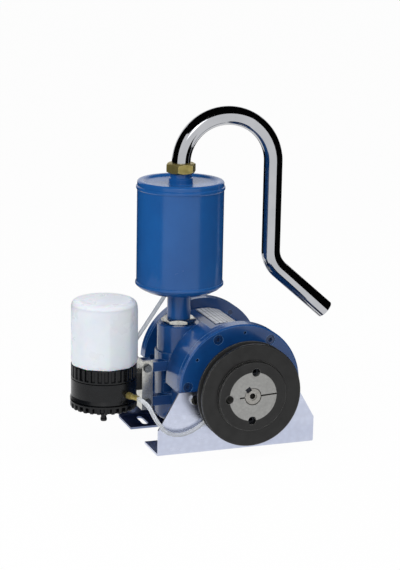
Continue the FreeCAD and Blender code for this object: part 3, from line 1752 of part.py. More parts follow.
def write_out():
    """Check every object and write one file for each finished piece."""
    document.recompute()
    for made in document.Objects:
        if "Invalid" in made.State or "Error" in made.State:
            raise ValueError(f"{made.Label} is in state {made.State}")
    for made in pieces:
        if made.Shape.isNull() or not made.Shape.isValid():
            raise ValueError(f"{made.Label} has no valid shape")
        made.Shape.exportStep(f"parts/{made.Label}.step")
        box = made.Shape.BoundBox
        print(
            f"{made.Label}: solids {len(made.Shape.Solids)}, volume {made.Shape.Volume:.1f}, "
            f"x {box.XMin:.1f} {box.XMax:.1f}, y {box.YMin:.1f} {box.YMax:.1f}, "
            f"z {box.ZMin:.1f} {box.ZMax:.1f}"
        )
    print(f"{len(pieces)} pieces")


def main():
    """Build the pump from the floor up."""
    keep(base_plate("front_base_plate", -1))
    keep(base_plate("rear_base_plate", 1))
    cover("front_cover", -1, d.front_boss_radius, FRONT_BOSS, d.front_shoulder)
    cover("rear_cover", 1, d.rear_boss_radius, REAR_BOSS, d.rear_shoulder)
    stator()
    gasket("front", -1)
    gasket("rear", 1)
    end_screws()
    front_bearing_cap()
    keep(bearing_cap("rear", 1, REAR_BOSS, d.rear_cap_gauge, d.rear_cap_radius, ZERO))
    shaft_seal()
    bearing("front", -1, FRONT_BOSS)
    bearing("rear", 1, REAR_BOSS)
    rotor_shaft()
    shaft_key()
    rotor_drum()
    for index in range(VANES):
        vane(index)
    pulley()
    taper_bush()
    bush_screws()
    silencer()
    exhaust_pipe()
    lubricator()
    oiler_bracket()
    oil_lines()
    nameplate()
    write_out()


main()
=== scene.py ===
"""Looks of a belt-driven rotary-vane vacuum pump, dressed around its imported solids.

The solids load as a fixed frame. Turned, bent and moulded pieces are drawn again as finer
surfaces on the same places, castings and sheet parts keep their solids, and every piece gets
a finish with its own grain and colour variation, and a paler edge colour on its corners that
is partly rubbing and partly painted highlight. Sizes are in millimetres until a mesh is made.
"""
import json
import logging
import math
from dataclasses import dataclass
from enum import Enum
from typing import Callable

import bmesh
import bpy
import numpy as np
from mathutils import Matrix, Vector


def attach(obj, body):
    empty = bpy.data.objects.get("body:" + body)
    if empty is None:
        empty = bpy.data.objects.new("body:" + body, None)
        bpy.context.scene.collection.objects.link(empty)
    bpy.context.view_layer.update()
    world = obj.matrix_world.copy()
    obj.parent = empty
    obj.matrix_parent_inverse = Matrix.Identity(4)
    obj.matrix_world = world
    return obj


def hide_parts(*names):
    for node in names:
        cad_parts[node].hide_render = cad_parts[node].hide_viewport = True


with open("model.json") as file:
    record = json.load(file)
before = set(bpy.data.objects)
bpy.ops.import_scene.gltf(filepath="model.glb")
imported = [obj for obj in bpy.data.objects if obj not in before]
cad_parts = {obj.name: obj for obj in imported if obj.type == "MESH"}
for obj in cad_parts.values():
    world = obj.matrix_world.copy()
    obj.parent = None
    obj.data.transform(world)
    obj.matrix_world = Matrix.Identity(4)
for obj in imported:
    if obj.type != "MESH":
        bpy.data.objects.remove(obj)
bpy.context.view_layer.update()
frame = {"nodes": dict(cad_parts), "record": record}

MM = 0.001
FULL_TURN = 2 * math.pi
# The pieces are worked out about the middle of the pump. The frame's origin is on the front foot.
TO_FRAME = np.array([0.0, 62.0, 0.0])
SHAFT_HEIGHT = 92.0
PULLEY_CENTRE = (0.0, 0.0, SHAFT_HEIGHT)
# Points nearer than the first are one, and faces thinner than the second are left out.
MERGE_MM = 0.002
SLIVER_MM = 0.001
# Radius of a profile's point on the axis, where its ring of points becomes one.
ON_AXIS = 0.001
# A nut's round end face as a share of its flats, and the slope of its chamfer in degrees.
NUT_LAND = 0.96
NUT_CHAMFER = 30.0

log = logging.getLogger("vacuum_pump")


class Body(Enum):
    """The bodies of the frame that carry the pieces made here."""

    PUMP = "pump"
    RESERVOIR = "reservoir"


# Objects, colour and nodes


def place_object(name: str, data: bpy.types.ID) -> bpy.types.Object:
    """Adds an object to the scene at the origin.

    Args:
        name: The object's name.
        data: Its mesh, curve, light or camera.

    Returns:
        The new object.
    """
    made = bpy.data.objects.new(name, data)
    bpy.context.scene.collection.objects.link(made)
    return made


def blank_material(name: str) -> bpy.types.Material:
    """Adds a material whose node tree is still empty.

    Args:
        name: The material's name.

    Returns:
        The new material.
    """
    material = bpy.data.materials.new(name)
    material.use_nodes = True
    material.node_tree.nodes.clear()
    return material


def linear(code: str, alpha: float = 1.0) -> tuple[float, float, float, float]:
    """Turns an sRGB hex colour to linear values.

    Args:
        code: Six hex digits after a hash sign.
        alpha: The fourth value.

    Returns:
        Red, green, blue and alpha for a shader socket.
    """
    parts = np.array([int(code[at : at + 2], 16) for at in (1, 3, 5)]) / 255
    low, high = parts / 12.92, ((parts + 0.055) / 1.055) ** 2.4
    red, green, blue = np.where(parts <= 0.04045, low, high)
    return float(red), float(green), float(blue), alpha


def add_node(
    tree: bpy.types.NodeTree, kind: str, inputs: dict | None = None, **settings: object
) -> bpy.types.Node:
    """Adds one node with its settings, values and links.

    Args:
        tree: The node tree.
        kind: The node's type name.
        inputs: Socket name or number to a value, or to an output socket to link.
        settings: Attributes of the node.

    Returns:
        The new node.
    """
    node = tree.nodes.new(kind)
    for key, value in settings.items():
        setattr(node, key, value)
    for socket, value in (inputs or {}).items():
        if isinstance(value, bpy.types.NodeSocket):
            tree.links.new(value, node.inputs[socket])
        else:
            node.inputs[socket].default_value = value
    return node


@dataclass(frozen=True)
class Canvas:
    """A material in the making: its nodes, centred coordinates and Principled shader."""

    tree: bpy.types.NodeTree
    place: bpy.types.NodeSocket
    shader: bpy.types.Node

    def lay_over(self, share: bpy.types.NodeSocket, shade: str) -> None:
        """Lays a shade over the base colour that the shader has so far.

        Args:
            share: How much of the shade shows, from 0 to 1.
            shade: The hex colour.
        """
        base = self.shader.inputs["Base Color"]
        inputs = {0: share, 6: base.links[0].from_socket, 7: linear(shade)}
        mixed = add_node(self.tree, "ShaderNodeMix", inputs, data_type="RGBA")
        self.tree.links.new(mixed.outputs[2], base)


@dataclass(frozen=True)
class Finish:
    """A finish with two shades, uneven gloss and a fine relief, all in Object coordinates."""

    name: str
    shade: str
    second: str
    roughness: float
    roughness_spread: float = 0.06
    metallic: float = 0.0
    ior: float = 1.5
    patch_mm: float = 25.0
    grain_mm: float = 1.5
    grain_depth_mm: float = 0.02
    stretch: tuple[float, float, float] = (1.0, 1.0, 1.0)
    coat: float = 0.0
    # Paler colour laid along the corners: partly rubbed paint or plating, partly painted highlight.
    edge: str | None = None
    edge_mm: float = 0.8
    ring_mm: float = 0.0
    centre_mm: tuple[float, float, float] = (0.0, 0.0, 0.0)

    def build(self) -> bpy.types.Material:
        """Makes the material.

        Returns:
            The material, with its Principled shader linked.
        """
        material = blank_material(self.name)
        tree = material.node_tree
        place = add_node(tree, "ShaderNodeTexCoord").outputs["Object"]
        shift = [-value * MM for value in self.centre_mm]
        place = add_node(tree, "ShaderNodeMapping", {"Vector": place, "Location": shift}).outputs[0]
        drawn = add_node(
            tree, "ShaderNodeMapping", {"Vector": place, "Scale": self.stretch}
        ).outputs[0]
        patches = add_node(
            tree,
            "ShaderNodeTexNoise",
            {"Vector": drawn, "Scale": 1 / (self.patch_mm * MM), "Detail": 4.0, "Roughness": 0.55},
        ).outputs["Fac"]
        spread = add_node(
            tree, "ShaderNodeMapRange", {"Value": patches, "From Min": 0.32, "From Max": 0.68}
        ).outputs[0]
        colour = add_node(
            tree,
            "ShaderNodeMix",
            {0: spread, 6: linear(self.shade), 7: linear(self.second)},
            data_type="RGBA",
        ).outputs[2]
        gloss = add_node(
            tree,
            "ShaderNodeMapRange",
            {
                "Value": patches,
                "From Min": 0.3,
                "From Max": 0.7,
                "To Min": self.roughness - self.roughness_spread,
                "To Max": self.roughness + self.roughness_spread,
            },
        ).outputs[0]
        grain = add_node(
            tree,
            "ShaderNodeTexNoise",
            {"Vector": drawn, "Scale": 1 / (self.grain_mm * MM), "Detail": 3.0, "Roughness": 0.6},
        ).outputs["Fac"]
        depth = self.grain_depth_mm * MM
        relief = add_node(
            tree, "ShaderNodeBump", {"Height": grain, "Distance": depth, "Strength": 1.0}
        )
        if self.ring_mm:
            rings = self.rings(tree, place)
            relief = add_node(
                tree,
                "ShaderNodeBump",
                {"Height": rings, "Distance": depth, "Normal": relief.outputs[0]},
            )
        shader = add_node(
            tree,
            "ShaderNodeBsdfPrincipled",
            {
                "Base Color": colour,
                "Roughness": gloss,
                "Metallic": self.metallic,
                "IOR": self.ior,
                "Coat Weight": self.coat,
                "Coat Roughness": 0.05,
                "Normal": relief.outputs[0],
            },
        )
        canvas = Canvas(tree, place, shader)
        if self.ring_mm:
            canvas.lay_over(rings, self.second)
        if self.edge:
            canvas.lay_over(self.edge_rub_and_highlight(tree, grain), self.edge)
        self.extra(canvas)
        add_node(tree, "ShaderNodeOutputMaterial", {"Surface": shader.outputs[0]})
        return material

    def rings(self, tree: bpy.types.NodeTree, place: bpy.types.NodeSocket) -> bpy.types.NodeSocket:
        """Concentric tool marks about the shaft's axis: noise in the distance from it.

        Args:
            tree: The node tree.
            place: The centred coordinates.

        Returns:
            The marks, from 0 to 1.
        """
        flat = {0: place, 1: (1, 0, 1)}
        across = add_node(tree, "ShaderNodeVectorMath", flat, operation="MULTIPLY")
        reach = add_node(tree, "ShaderNodeVectorMath", {0: across.outputs[0]}, operation="LENGTH")
        return add_node(
            tree,
            "ShaderNodeTexNoise",
            {"W": reach.outputs["Value"], "Scale": 1 / (self.ring_mm * MM), "Detail": 3.0},
            noise_dimensions="1D",
        ).outputs["Fac"]

    def edge_rub_and_highlight(
        self, tree: bpy.types.NodeTree, grain: bpy.types.NodeSocket
    ) -> bpy.types.NodeSocket:
        """Rubbed and painted-highlight corners: the rounded normal turns away from the flat one.

        Args:
            tree: The node tree.
            grain: Noise that breaks the line of rubbing and highlight.

        Returns:
            The share of rubbing and painted highlight, from 0 to 1.
        """
        rounded = add_node(tree, "ShaderNodeBevel", {"Radius": self.edge_mm * MM}, samples=4)
        flat = add_node(tree, "ShaderNodeNewGeometry").outputs["Normal"]
        normals = {0: rounded.outputs[0], 1: flat}
        turn = add_node(tree, "ShaderNodeVectorMath", normals, operation="DOT_PRODUCT")
        whole = {0: 1.0, 1: turn.outputs["Value"]}
        lost = add_node(tree, "ShaderNodeMath", whole, operation="SUBTRACT")
        broken = {0: lost.outputs[0], 1: grain}
        rough = add_node(tree, "ShaderNodeMath", broken, operation="MULTIPLY")
        rubbed_or_lit = {"Value": rough.outputs[0], "From Min": 0.02, "From Max": 0.16}
        return add_node(tree, "ShaderNodeMapRange", rubbed_or_lit).outputs[0]

    def extra(self, canvas: Canvas) -> None:
        """Anything that one kind of finish adds to its shader.

        Args:
            canvas: The material in the making.
        """


@dataclass(frozen=True)
class Translucent(Finish):
    """A plastic that lets light in: milky with scatter, or clear with transmission."""

    scatter: float = 0.0
    scatter_mm: float = 3.0
    transmission: float = 0.0

    def extra(self, canvas: Canvas) -> None:
        """Sets scatter and transmission on the shader's own sockets.

        Args:
            canvas: The material in the making.
        """
        inputs = canvas.shader.inputs
        inputs["Subsurface Weight"].default_value = self.scatter
        inputs["Subsurface Scale"].default_value = self.scatter_mm * MM
        inputs["Transmission Weight"].default_value = self.transmission


@dataclass(frozen=True)
class Spangle(Finish):
    """Zinc-plated sheet: faint crystal patches and rolling scratches on a bright metal."""

    crystal_mm: float = 7.0
    crystal_share: float = 0.35
    crystal_shade: str = "#AEB2C4"

    def extra(self, canvas: Canvas) -> None:
        """Lays crystal patches over the base colour.

        Args:
            canvas: The material in the making.
        """
        crystals = add_node(
            canvas.tree,
            "ShaderNodeTexVoronoi",
            {"Vector": canvas.place, "Scale": 1 / (self.crystal_mm * MM), "Randomness": 1.0},
            feature="SMOOTH_F1",
        )
        reach = {"Value": crystals.outputs["Distance"], "From Min": 0.1, "From Max": 0.8}
        share = add_node(canvas.tree, "ShaderNodeMapRange", {**reach, "To Max": self.crystal_share})
        canvas.lay_over(share.outputs[0], self.crystal_shade)


@dataclass(frozen=True)
class Ruled(Finish):
    """A plate with a grid of thin dark lines round blank fields."""

    field_mm: tuple[float, float] = (27.0, 6.0)
    line_mm: float = 0.45
    line_shade: str = "#33373D"

    def extra(self, canvas: Canvas) -> None:
        """Draws the lines over the base colour, with the fields long in Y.

        Args:
            canvas: The material in the making.
        """
        quarter = {"Vector": canvas.place, "Rotation": (0.0, 0.0, math.pi / 2)}
        fields = add_node(
            canvas.tree,
            "ShaderNodeTexBrick",
            {
                "Vector": add_node(canvas.tree, "ShaderNodeMapping", quarter).outputs[0],
                "Scale": 1.0,
                "Mortar Size": self.line_mm * MM,
                "Mortar Smooth": 0.2,
                "Brick Width": self.field_mm[0] * MM,
                "Row Height": self.field_mm[1] * MM,
            },
            offset=0.0,
        )
        canvas.lay_over(fields.outputs["Fac"], self.line_shade)


FINISHES = {
    # Sheet steel after bright zinc plating: satin, cool grey, faint rolling lines.
    "zinc_sheet": Spangle(
        "bright_zinc_plated_sheet", "#D3D9EB", "#C2C9DF", 0.3, 0.06, metallic=1.0, patch_mm=40,
        grain_mm=0.5, grain_depth_mm=0.004, stretch=(0.15, 1, 1), edge="#E6E8F2", edge_mm=0.5,
    ),
    # The same zinc sheet, darker and blue-grey as painted shade: the darker of the two base plates.
    "shaded_zinc_sheet": Spangle(
        "zinc_sheet_painted_shade", "#7F8AA6", "#6A7594", 0.32, 0.06, metallic=1.0, patch_mm=40,
        grain_mm=0.5, grain_depth_mm=0.004, stretch=(0.15, 1, 1), edge="#B9C0D4", edge_mm=0.5,
        crystal_shade="#5F6A88",
    ),
    # Enamel sprayed on cast iron: glossy, with the sand of the casting showing through. Its pale
    # edge colour is painted highlight.
    "blue_enamel": Finish(
        "blue_enamel_on_casting", "#184E8E", "#14437E", 0.22, 0.05, ior=1.47, patch_mm=30,
        grain_mm=2.4, grain_depth_mm=0.035, coat=0.3, edge="#86B2E4", edge_mm=1.1,
    ),
    # The same enamel on smooth sheet steel: a slight orange peel. Its pale edge colour is painted
    # highlight.
    "can_enamel": Finish(
        "blue_enamel_on_sheet_steel", "#1B5A9E", "#185294", 0.24, 0.04, ior=1.42, patch_mm=60,
        grain_mm=3.0, grain_depth_mm=0.012, coat=0.15, edge="#8DB8E8", edge_mm=0.7,
    ),
    # Screws enamelled with the cover, a darker blue all over as painted shade for their sockets and
    # the gaps round the heads.
    "shaded_screw_enamel": Finish(
        "blue_enamel_screws_painted_shade", "#123B70", "#0C2C58", 0.3, 0.06, patch_mm=3, grain_mm=0.6,
        grain_depth_mm=0.01, coat=0.3, edge="#4F86C6", edge_mm=0.4,
    ),
    # Pressed fibre paper: brown, dry and dull.
    "gasket_paper": Finish(
        "pressed_gasket_paper", "#7A6A50", "#5F5240", 0.85, 0.05, patch_mm=6, grain_mm=0.4,
        grain_depth_mm=0.05,
    ),
    # Steel after black oxide: nearly black with a dull oily shine.
    "black_steel": Finish(
        "black_oxide_steel", "#3A3D44", "#26282D", 0.42, 0.08, metallic=0.9, patch_mm=3,
        grain_mm=0.4, grain_depth_mm=0.008, edge="#7A7D84", edge_mm=0.3,
    ),
    # Small turned and forged parts after bright zinc plating.
    "zinc_fastener": Finish(
        "bright_zinc_plated_fastener", "#CDCDC8", "#AFAEA8", 0.24, 0.06, metallic=1.0, patch_mm=5,
        grain_mm=0.5, grain_depth_mm=0.006, edge="#F2F1EA", edge_mm=0.4,
    ),
    # Plated bolts in a darker grey, with painted highlight on their corners.
    "grey_fastener": Finish(
        "dark_grey_zinc_plated_bolt", "#777B80", "#5A5E63", 0.3, 0.07, metallic=1.0, patch_mm=3,
        grain_mm=0.5, grain_depth_mm=0.008, edge="#E4E6E6", edge_mm=0.4,
    ),
    # Moulded nitrile rubber: black and dull.
    "black_rubber": Finish(
        "moulded_nitrile_rubber", "#1C1C1D", "#262627", 0.65, 0.05, patch_mm=4, grain_mm=0.5,
        grain_depth_mm=0.02,
    ),
    # Ground bearing steel: bright and even.
    "bearing_steel": Finish(
        "ground_bearing_steel", "#D0D0D2", "#B9BABD", 0.12, 0.04, metallic=1.0, patch_mm=6,
        grain_mm=0.3, grain_depth_mm=0.002,
    ),
    # Moulded polyamide cage: amber and waxy.
    "cage_plastic": Finish(
        "moulded_polyamide_cage", "#B08A4C", "#97733C", 0.45, 0.05, patch_mm=5, grain_mm=0.6,
        grain_depth_mm=0.01,
    ),
    # Turned steel, not plated: grey with rings from the tool.
    "machined_steel": Finish(
        "turned_steel_bar", "#B4B2AD", "#8E8C88", 0.3, 0.07, metallic=1.0, patch_mm=8, grain_mm=0.6,
        grain_depth_mm=0.006, ring_mm=0.7, centre_mm=PULLEY_CENTRE, edge="#DAD9D6", edge_mm=0.4,
    ),
    # Milled grey iron: dark grey with open pores.
    "cast_iron": Finish(
        "machined_grey_iron", "#6E6E6F", "#575758", 0.4, 0.08, metallic=0.9, patch_mm=10,
        grain_mm=0.5, grain_depth_mm=0.02,
    ),
    # Cloth laminate in resin: brown-black with a weave.
    "vane_composite": Finish(
        "cloth_resin_laminate", "#4A3A26", "#33281B", 0.5, 0.06, patch_mm=3, grain_mm=0.5,
        grain_depth_mm=0.02,
    ),
    # Thin black paint and oil on cast iron, with rings where the face was turned. Its grey edge
    # colour is painted highlight on the rims.
    "black_cast_iron": Finish(
        "blackened_turned_cast_iron", "#202020", "#141414", 0.38, 0.1, metallic=0.25, patch_mm=18,
        grain_mm=0.9, grain_depth_mm=0.04, ring_mm=2.0, centre_mm=PULLEY_CENTRE, edge="#9A9A98",
        edge_mm=0.9,
    ),
    # The bush is turned and left bare: mid grey, slightly mottled by phosphate.
    "bush_steel": Finish(
        "phosphated_turned_steel", "#AEAEAC", "#989896", 0.42, 0.06, metallic=0.75, patch_mm=3,
        grain_mm=0.5, grain_depth_mm=0.02, ring_mm=0.9, centre_mm=PULLEY_CENTRE, edge="#C9C9C8",
        edge_mm=0.3,
    ),
    # Welded tube inside the can, never painted.
    "bare_tube": Finish(
        "bare_welded_tube", "#7D7A76", "#62605C", 0.45, 0.08, metallic=1.0, patch_mm=15,
        grain_mm=0.8, grain_depth_mm=0.01,
    ),
    # Forged brass with a dull oxide on its flats. Its pale edge colour is painted highlight on the
    # chamfers.
    "brass": Finish(
        "forged_brass", "#B9A968", "#A39452", 0.42, 0.08, metallic=0.75, patch_mm=7, grain_mm=0.7,
        grain_depth_mm=0.015, edge="#F3EBCB", edge_mm=0.7,
    ),
    # Polished chrome plate on drawn tube: a mirror with faint polishing lines.
    "chrome_tube": Finish(
        "polished_chrome_plate", "#BCBDC1", "#B3B5B9", 0.05, 0.02, metallic=1.0, patch_mm=30,
        grain_mm=6.0, grain_depth_mm=0.002,
    ),
    # Blow-moulded polyethylene: milky, light comes a little way in.
    "white_plastic": Translucent(
        "milky_polyethylene", "#EFF2F9", "#E6ECF5", 0.3, 0.05, ior=1.51, patch_mm=35, grain_mm=1.6,
        grain_depth_mm=0.01, scatter=0.35,
    ),
    # Injection-moulded nylon: black with a satin shine.
    "black_plastic": Finish(
        "moulded_black_nylon", "#0D0F13", "#08090C", 0.28, 0.06, ior=1.38, patch_mm=14,
        grain_mm=0.7, grain_depth_mm=0.012, edge="#2C2E33", edge_mm=0.4,
    ),
    # Clear plasticised vinyl: see-through with a soft surface.
    "clear_hose": Translucent(
        "clear_vinyl_hose", "#F1F4F8", "#E6EAF0", 0.16, 0.04, ior=1.53, patch_mm=12, grain_mm=1.2,
        grain_depth_mm=0.01, transmission=0.5,
    ),
    # Brushed aluminium plate, ruled into blank fields.
    "plain_aluminium": Ruled(
        "ruled_aluminium_plate", "#F0F2F5", "#E2E5EA", 0.36, 0.05, metallic=0.1, patch_mm=12,
        grain_mm=0.4, grain_depth_mm=0.006, stretch=(1, 0.1, 1),
    ),
}

# Pieces whose finish differs in tone from the others of their slot. The darker rear plate, cover
# screws and shaft key carry painted shade.
OWN_FINISH = {
    "exhaust_stem": "can_enamel",
    "silencer_shell": "can_enamel",
    "silencer_bottom": "can_enamel",
    "silencer_top": "can_enamel",
    "silencer_neck": "can_enamel",
    "rear_base_plate": "shaded_zinc_sheet",
    "front_cover_screws": "shaded_screw_enamel",
    "rear_cover_screws": "shaded_screw_enamel",
    "bracket_bolts": "grey_fastener",
    "bracket_washers": "grey_fastener",
    "oiler_bracket": "zinc_fastener",
    # The key's black finish is painted shade for the dark keyway notch.
    "shaft_key": "black_steel",
}


class Palette:
    """Builds each finish once and gives it to the pieces that carry it."""

    def __init__(self) -> None:
        """Starts with no material built."""
        self.made: dict[str, bpy.types.Material] = {}

    def material(self, key: str) -> bpy.types.Material:
        """Gives the material of a finish, building it at its first use.

        Args:
            key: The finish's name in the table of finishes.

        Returns:
            The material.
        """
        if key not in self.made:
            self.made[key] = FINISHES[key].build()
        return self.made[key]

    def dress_solids(self) -> None:
        """Gives every solid of the frame the finish of its slot in the record."""
        slots = {row["node"]: row["material_slot"] for row in frame["record"]["subparts"]}
        for name, solid in frame["nodes"].items():
            for slot in solid.material_slots:
                slot.material = self.material(OWN_FINISH.get(name, slots[name]))


# Surfaces


def rounded(corners: list[tuple[float, float, float]], steps: int = 6) -> np.ndarray:
    """Rounds the corners of a closed outline.

    Each corner is replaced by a quadratic blend p = (1-t)^2 a + 2t(1-t) c + t^2 b, where a and b
    lie on the two edges at the corner's reach.

    Args:
        corners: Radius, height and reach of the rounding for each corner, in mm.
        steps: Points on each rounding.

    Returns:
        The outline's points, one row each.
    """
    points = np.array([corner[:2] for corner in corners], float)
    reach = np.array([corner[2] for corner in corners], float)[:, None]
    before = np.roll(points, 1, axis=0) - points
    after = np.roll(points, -1, axis=0) - points
    start = points + before / np.linalg.norm(before, axis=1, keepdims=True) * reach
    end = points + after / np.linalg.norm(after, axis=1, keepdims=True) * reach
    t = np.linspace(0, 1, steps)[None, :, None]
    blend = (1 - t) ** 2 * start[:, None] + 2 * t * (1 - t) * points[:, None] + t**2 * end[:, None]
    parts = [row[:1] if not size else row for row, size in zip(blend, reach[:, 0])]
    return np.concatenate(parts)


def grid_object(
    name: str, points: np.ndarray, material: bpy.types.Material, sharp: float = 40.0
) -> bpy.types.Object:
    """Turns a grid of points that closes both ways into a closed mesh object.

    Cell (i, j) joins points (i, j), (i, j+1), (i+1, j+1) and (i+1, j), with both numbers taken
    round the grid. Points that fall together, as on an axis, are merged.

    Args:
        name: The object's name.
        points: Rows by columns by 3, in mm.
        material: Its finish.
        sharp: Edges that turn more than this many degrees stay sharp.

    Returns:
        The new object at the origin.
    """
    rows, columns, _ = points.shape
    index = np.arange(rows * columns).reshape(rows, columns)
    beside, below = np.roll(index, -1, axis=1), np.roll(index, -1, axis=0)
    corner = np.roll(below, -1, axis=1)
    faces = np.stack([index, beside, corner, below], axis=-1).reshape(-1, 4)
    mesh = bpy.data.meshes.new(name)
    mesh.vertices.add(rows * columns)
    placed = (points + TO_FRAME) * MM
    mesh.vertices.foreach_set("co", placed.astype(np.float32).ravel())
    mesh.loops.add(faces.size)
    mesh.loops.foreach_set("vertex_index", faces.astype(np.int32).ravel())
    mesh.polygons.add(len(faces))
    mesh.polygons.foreach_set("loop_start", np.arange(0, faces.size, 4, dtype=np.int32))
    mesh.update(calc_edges=True)
    shape = bmesh.new()
    shape.from_mesh(mesh)
    bmesh.ops.remove_doubles(shape, verts=shape.verts, dist=MERGE_MM * MM)
    bmesh.ops.dissolve_degenerate(shape, edges=shape.edges, dist=SLIVER_MM * MM)
    bmesh.ops.recalc_face_normals(shape, faces=shape.faces)
    shape.to_mesh(mesh)
    shape.free()
    mesh.validate()
    mesh.shade_smooth()
    mesh.set_sharp_from_angle(angle=math.radians(sharp))
    mesh.materials.append(material)
    return place_object(name, mesh)


@dataclass(frozen=True)
class Wall:
    """The points of a turned surface, as arrays of radius, height and angle."""

    radius: np.ndarray
    height: np.ndarray
    angle: np.ndarray


def turned(
    outline: np.ndarray,
    centre: tuple[float, float, float],
    columns: int = 128,
    change: Callable[[Wall], np.ndarray] | None = None,
) -> np.ndarray:
    """An upright surface of revolution: p = centre + (r(u) cos v, r(u) sin v, h(u)).

    Args:
        outline: Radius and height of each point, in mm.
        centre: A point on the axis, where the height is 0.
        columns: Steps round the axis.
        change: Gives what is added to the radius of each point.

    Returns:
        The grid of points, rows by columns by 3.
    """
    angle = np.linspace(0, FULL_TURN, columns, endpoint=False)[None, :]
    radius = outline[:, :1] + 0 * angle
    height = outline[:, 1:2] + 0 * angle
    if change:
        radius = radius + change(Wall(radius, height, angle + 0 * radius))
    points = np.stack([radius * np.cos(angle), radius * np.sin(angle), height], axis=-1)
    return points + np.array(centre)


def hexagon(
    flats: float,
    foot: float,
    top: float,
    bore: float,
    centre: tuple[float, float],
    turn: float = 0.0,
) -> np.ndarray:
    """An upright hexagon nut with both ends chamfered by a cone.

    The wall's radius is w(v) = a / cos(v modulo 60 degrees - 30 degrees), with a half the
    flats. The chamfer cone starts at the land's radius l and cuts the wall (w - l) tan 30 degrees
    from each end.

    Args:
        flats: Size across the flats, in mm.
        foot: Height of the lower face.
        top: Height of the upper face.
        bore: Radius of the hole.
        centre: X and Y of the axis.
        turn: Degrees that the hexagon is turned.

    Returns:
        The grid of points.
    """
    half = flats / 2
    angle = np.linspace(0, FULL_TURN, 96, endpoint=False)
    wall = half / np.cos(np.mod(angle, math.pi / 3) - math.pi / 6)
    land = np.full_like(angle, half * NUT_LAND)
    drop = (wall - land) * math.tan(math.radians(NUT_CHAMFER))
    inner = np.full_like(angle, bore)
    levels = (
        (inner, 0 * angle + foot), (land, 0 * angle + foot), (wall, foot + drop),
        (wall, top - drop), (land, 0 * angle + top), (inner, 0 * angle + top),
    )
    around = angle + math.radians(turn)
    rows = [
        np.stack([r * np.cos(around) + centre[0], r * np.sin(around) + centre[1], h], axis=-1)
        for r, h in levels
    ]
    return np.stack(rows)


def level_way(azimuth: float) -> np.ndarray:
    """The level unit vector (cos a, sin a, 0) at an azimuth in degrees from +X."""
    a = math.radians(azimuth)
    return np.array([math.cos(a), math.sin(a), 0.0])


def aimed(points: np.ndarray, seat: np.ndarray, azimuth: float) -> np.ndarray:
    """Lays an upright grid down so that its axis points level along an azimuth.

    p = seat + z (cos a, sin a, 0) + x (-sin a, cos a, 0) + y (0, 0, 1).

    Args:
        points: The upright grid, in mm.
        seat: Where its origin goes.
        azimuth: Degrees of its axis from +X.

    Returns:
        The grid in its place.
    """
    ahead = level_way(azimuth)
    aside = np.array([-ahead[1], ahead[0], 0.0])
    return points @ np.array([aside, (0.0, 0.0, 1.0), ahead]) + seat


class Builder:
    """Shared work of the sub-assemblies: makes a piece and ties it to its node and body."""

    def __init__(self, palette: Palette) -> None:
        """Keeps the palette.

        Args:
            palette: The finishes.
        """
        self.palette = palette
        self.count = 0

    def put(
        self,
        name: str,
        points: np.ndarray,
        finish: str,
        replaces: str | None = None,
        body: Body = Body.PUMP,
        sharp: float = 40.0,
    ) -> None:
        """Makes a piece from its grid and rides it on its body.

        Args:
            name: The piece's name.
            points: Its grid, in mm.
            finish: Key of its finish.
            replaces: The solid that it stands for, if any.
            body: The body that carries it.
            sharp: Angle of the edges that stay sharp, in degrees.
        """
        piece = grid_object(name, points, self.palette.material(finish), sharp)
        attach(piece, body.value)
        if replaces:
            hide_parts(replaces)
        self.count += 1


def arc(
    centre: tuple[float, float], radius: float, start: float, end: float, steps: int
) -> tuple[np.ndarray, np.ndarray]:
    """An arc p = c + R (cos q, sin q) and its unit direction d = s (-sin q, cos q).

    Args:
        centre: Its centre, c.
        radius: Its radius, R.
        start: The first angle q, in radians.
        end: The last angle. The sign s is 1 where q grows and -1 where it falls.
        steps: Points on it.

    Returns:
        The points and the directions, one row each.
    """
    q = np.linspace(start, end, steps)[:, None]
    points = np.hstack([centre[0] + radius * np.cos(q), centre[1] + radius * np.sin(q)])
    return points, np.sign(end - start) * np.hstack([-np.sin(q), np.cos(q)])


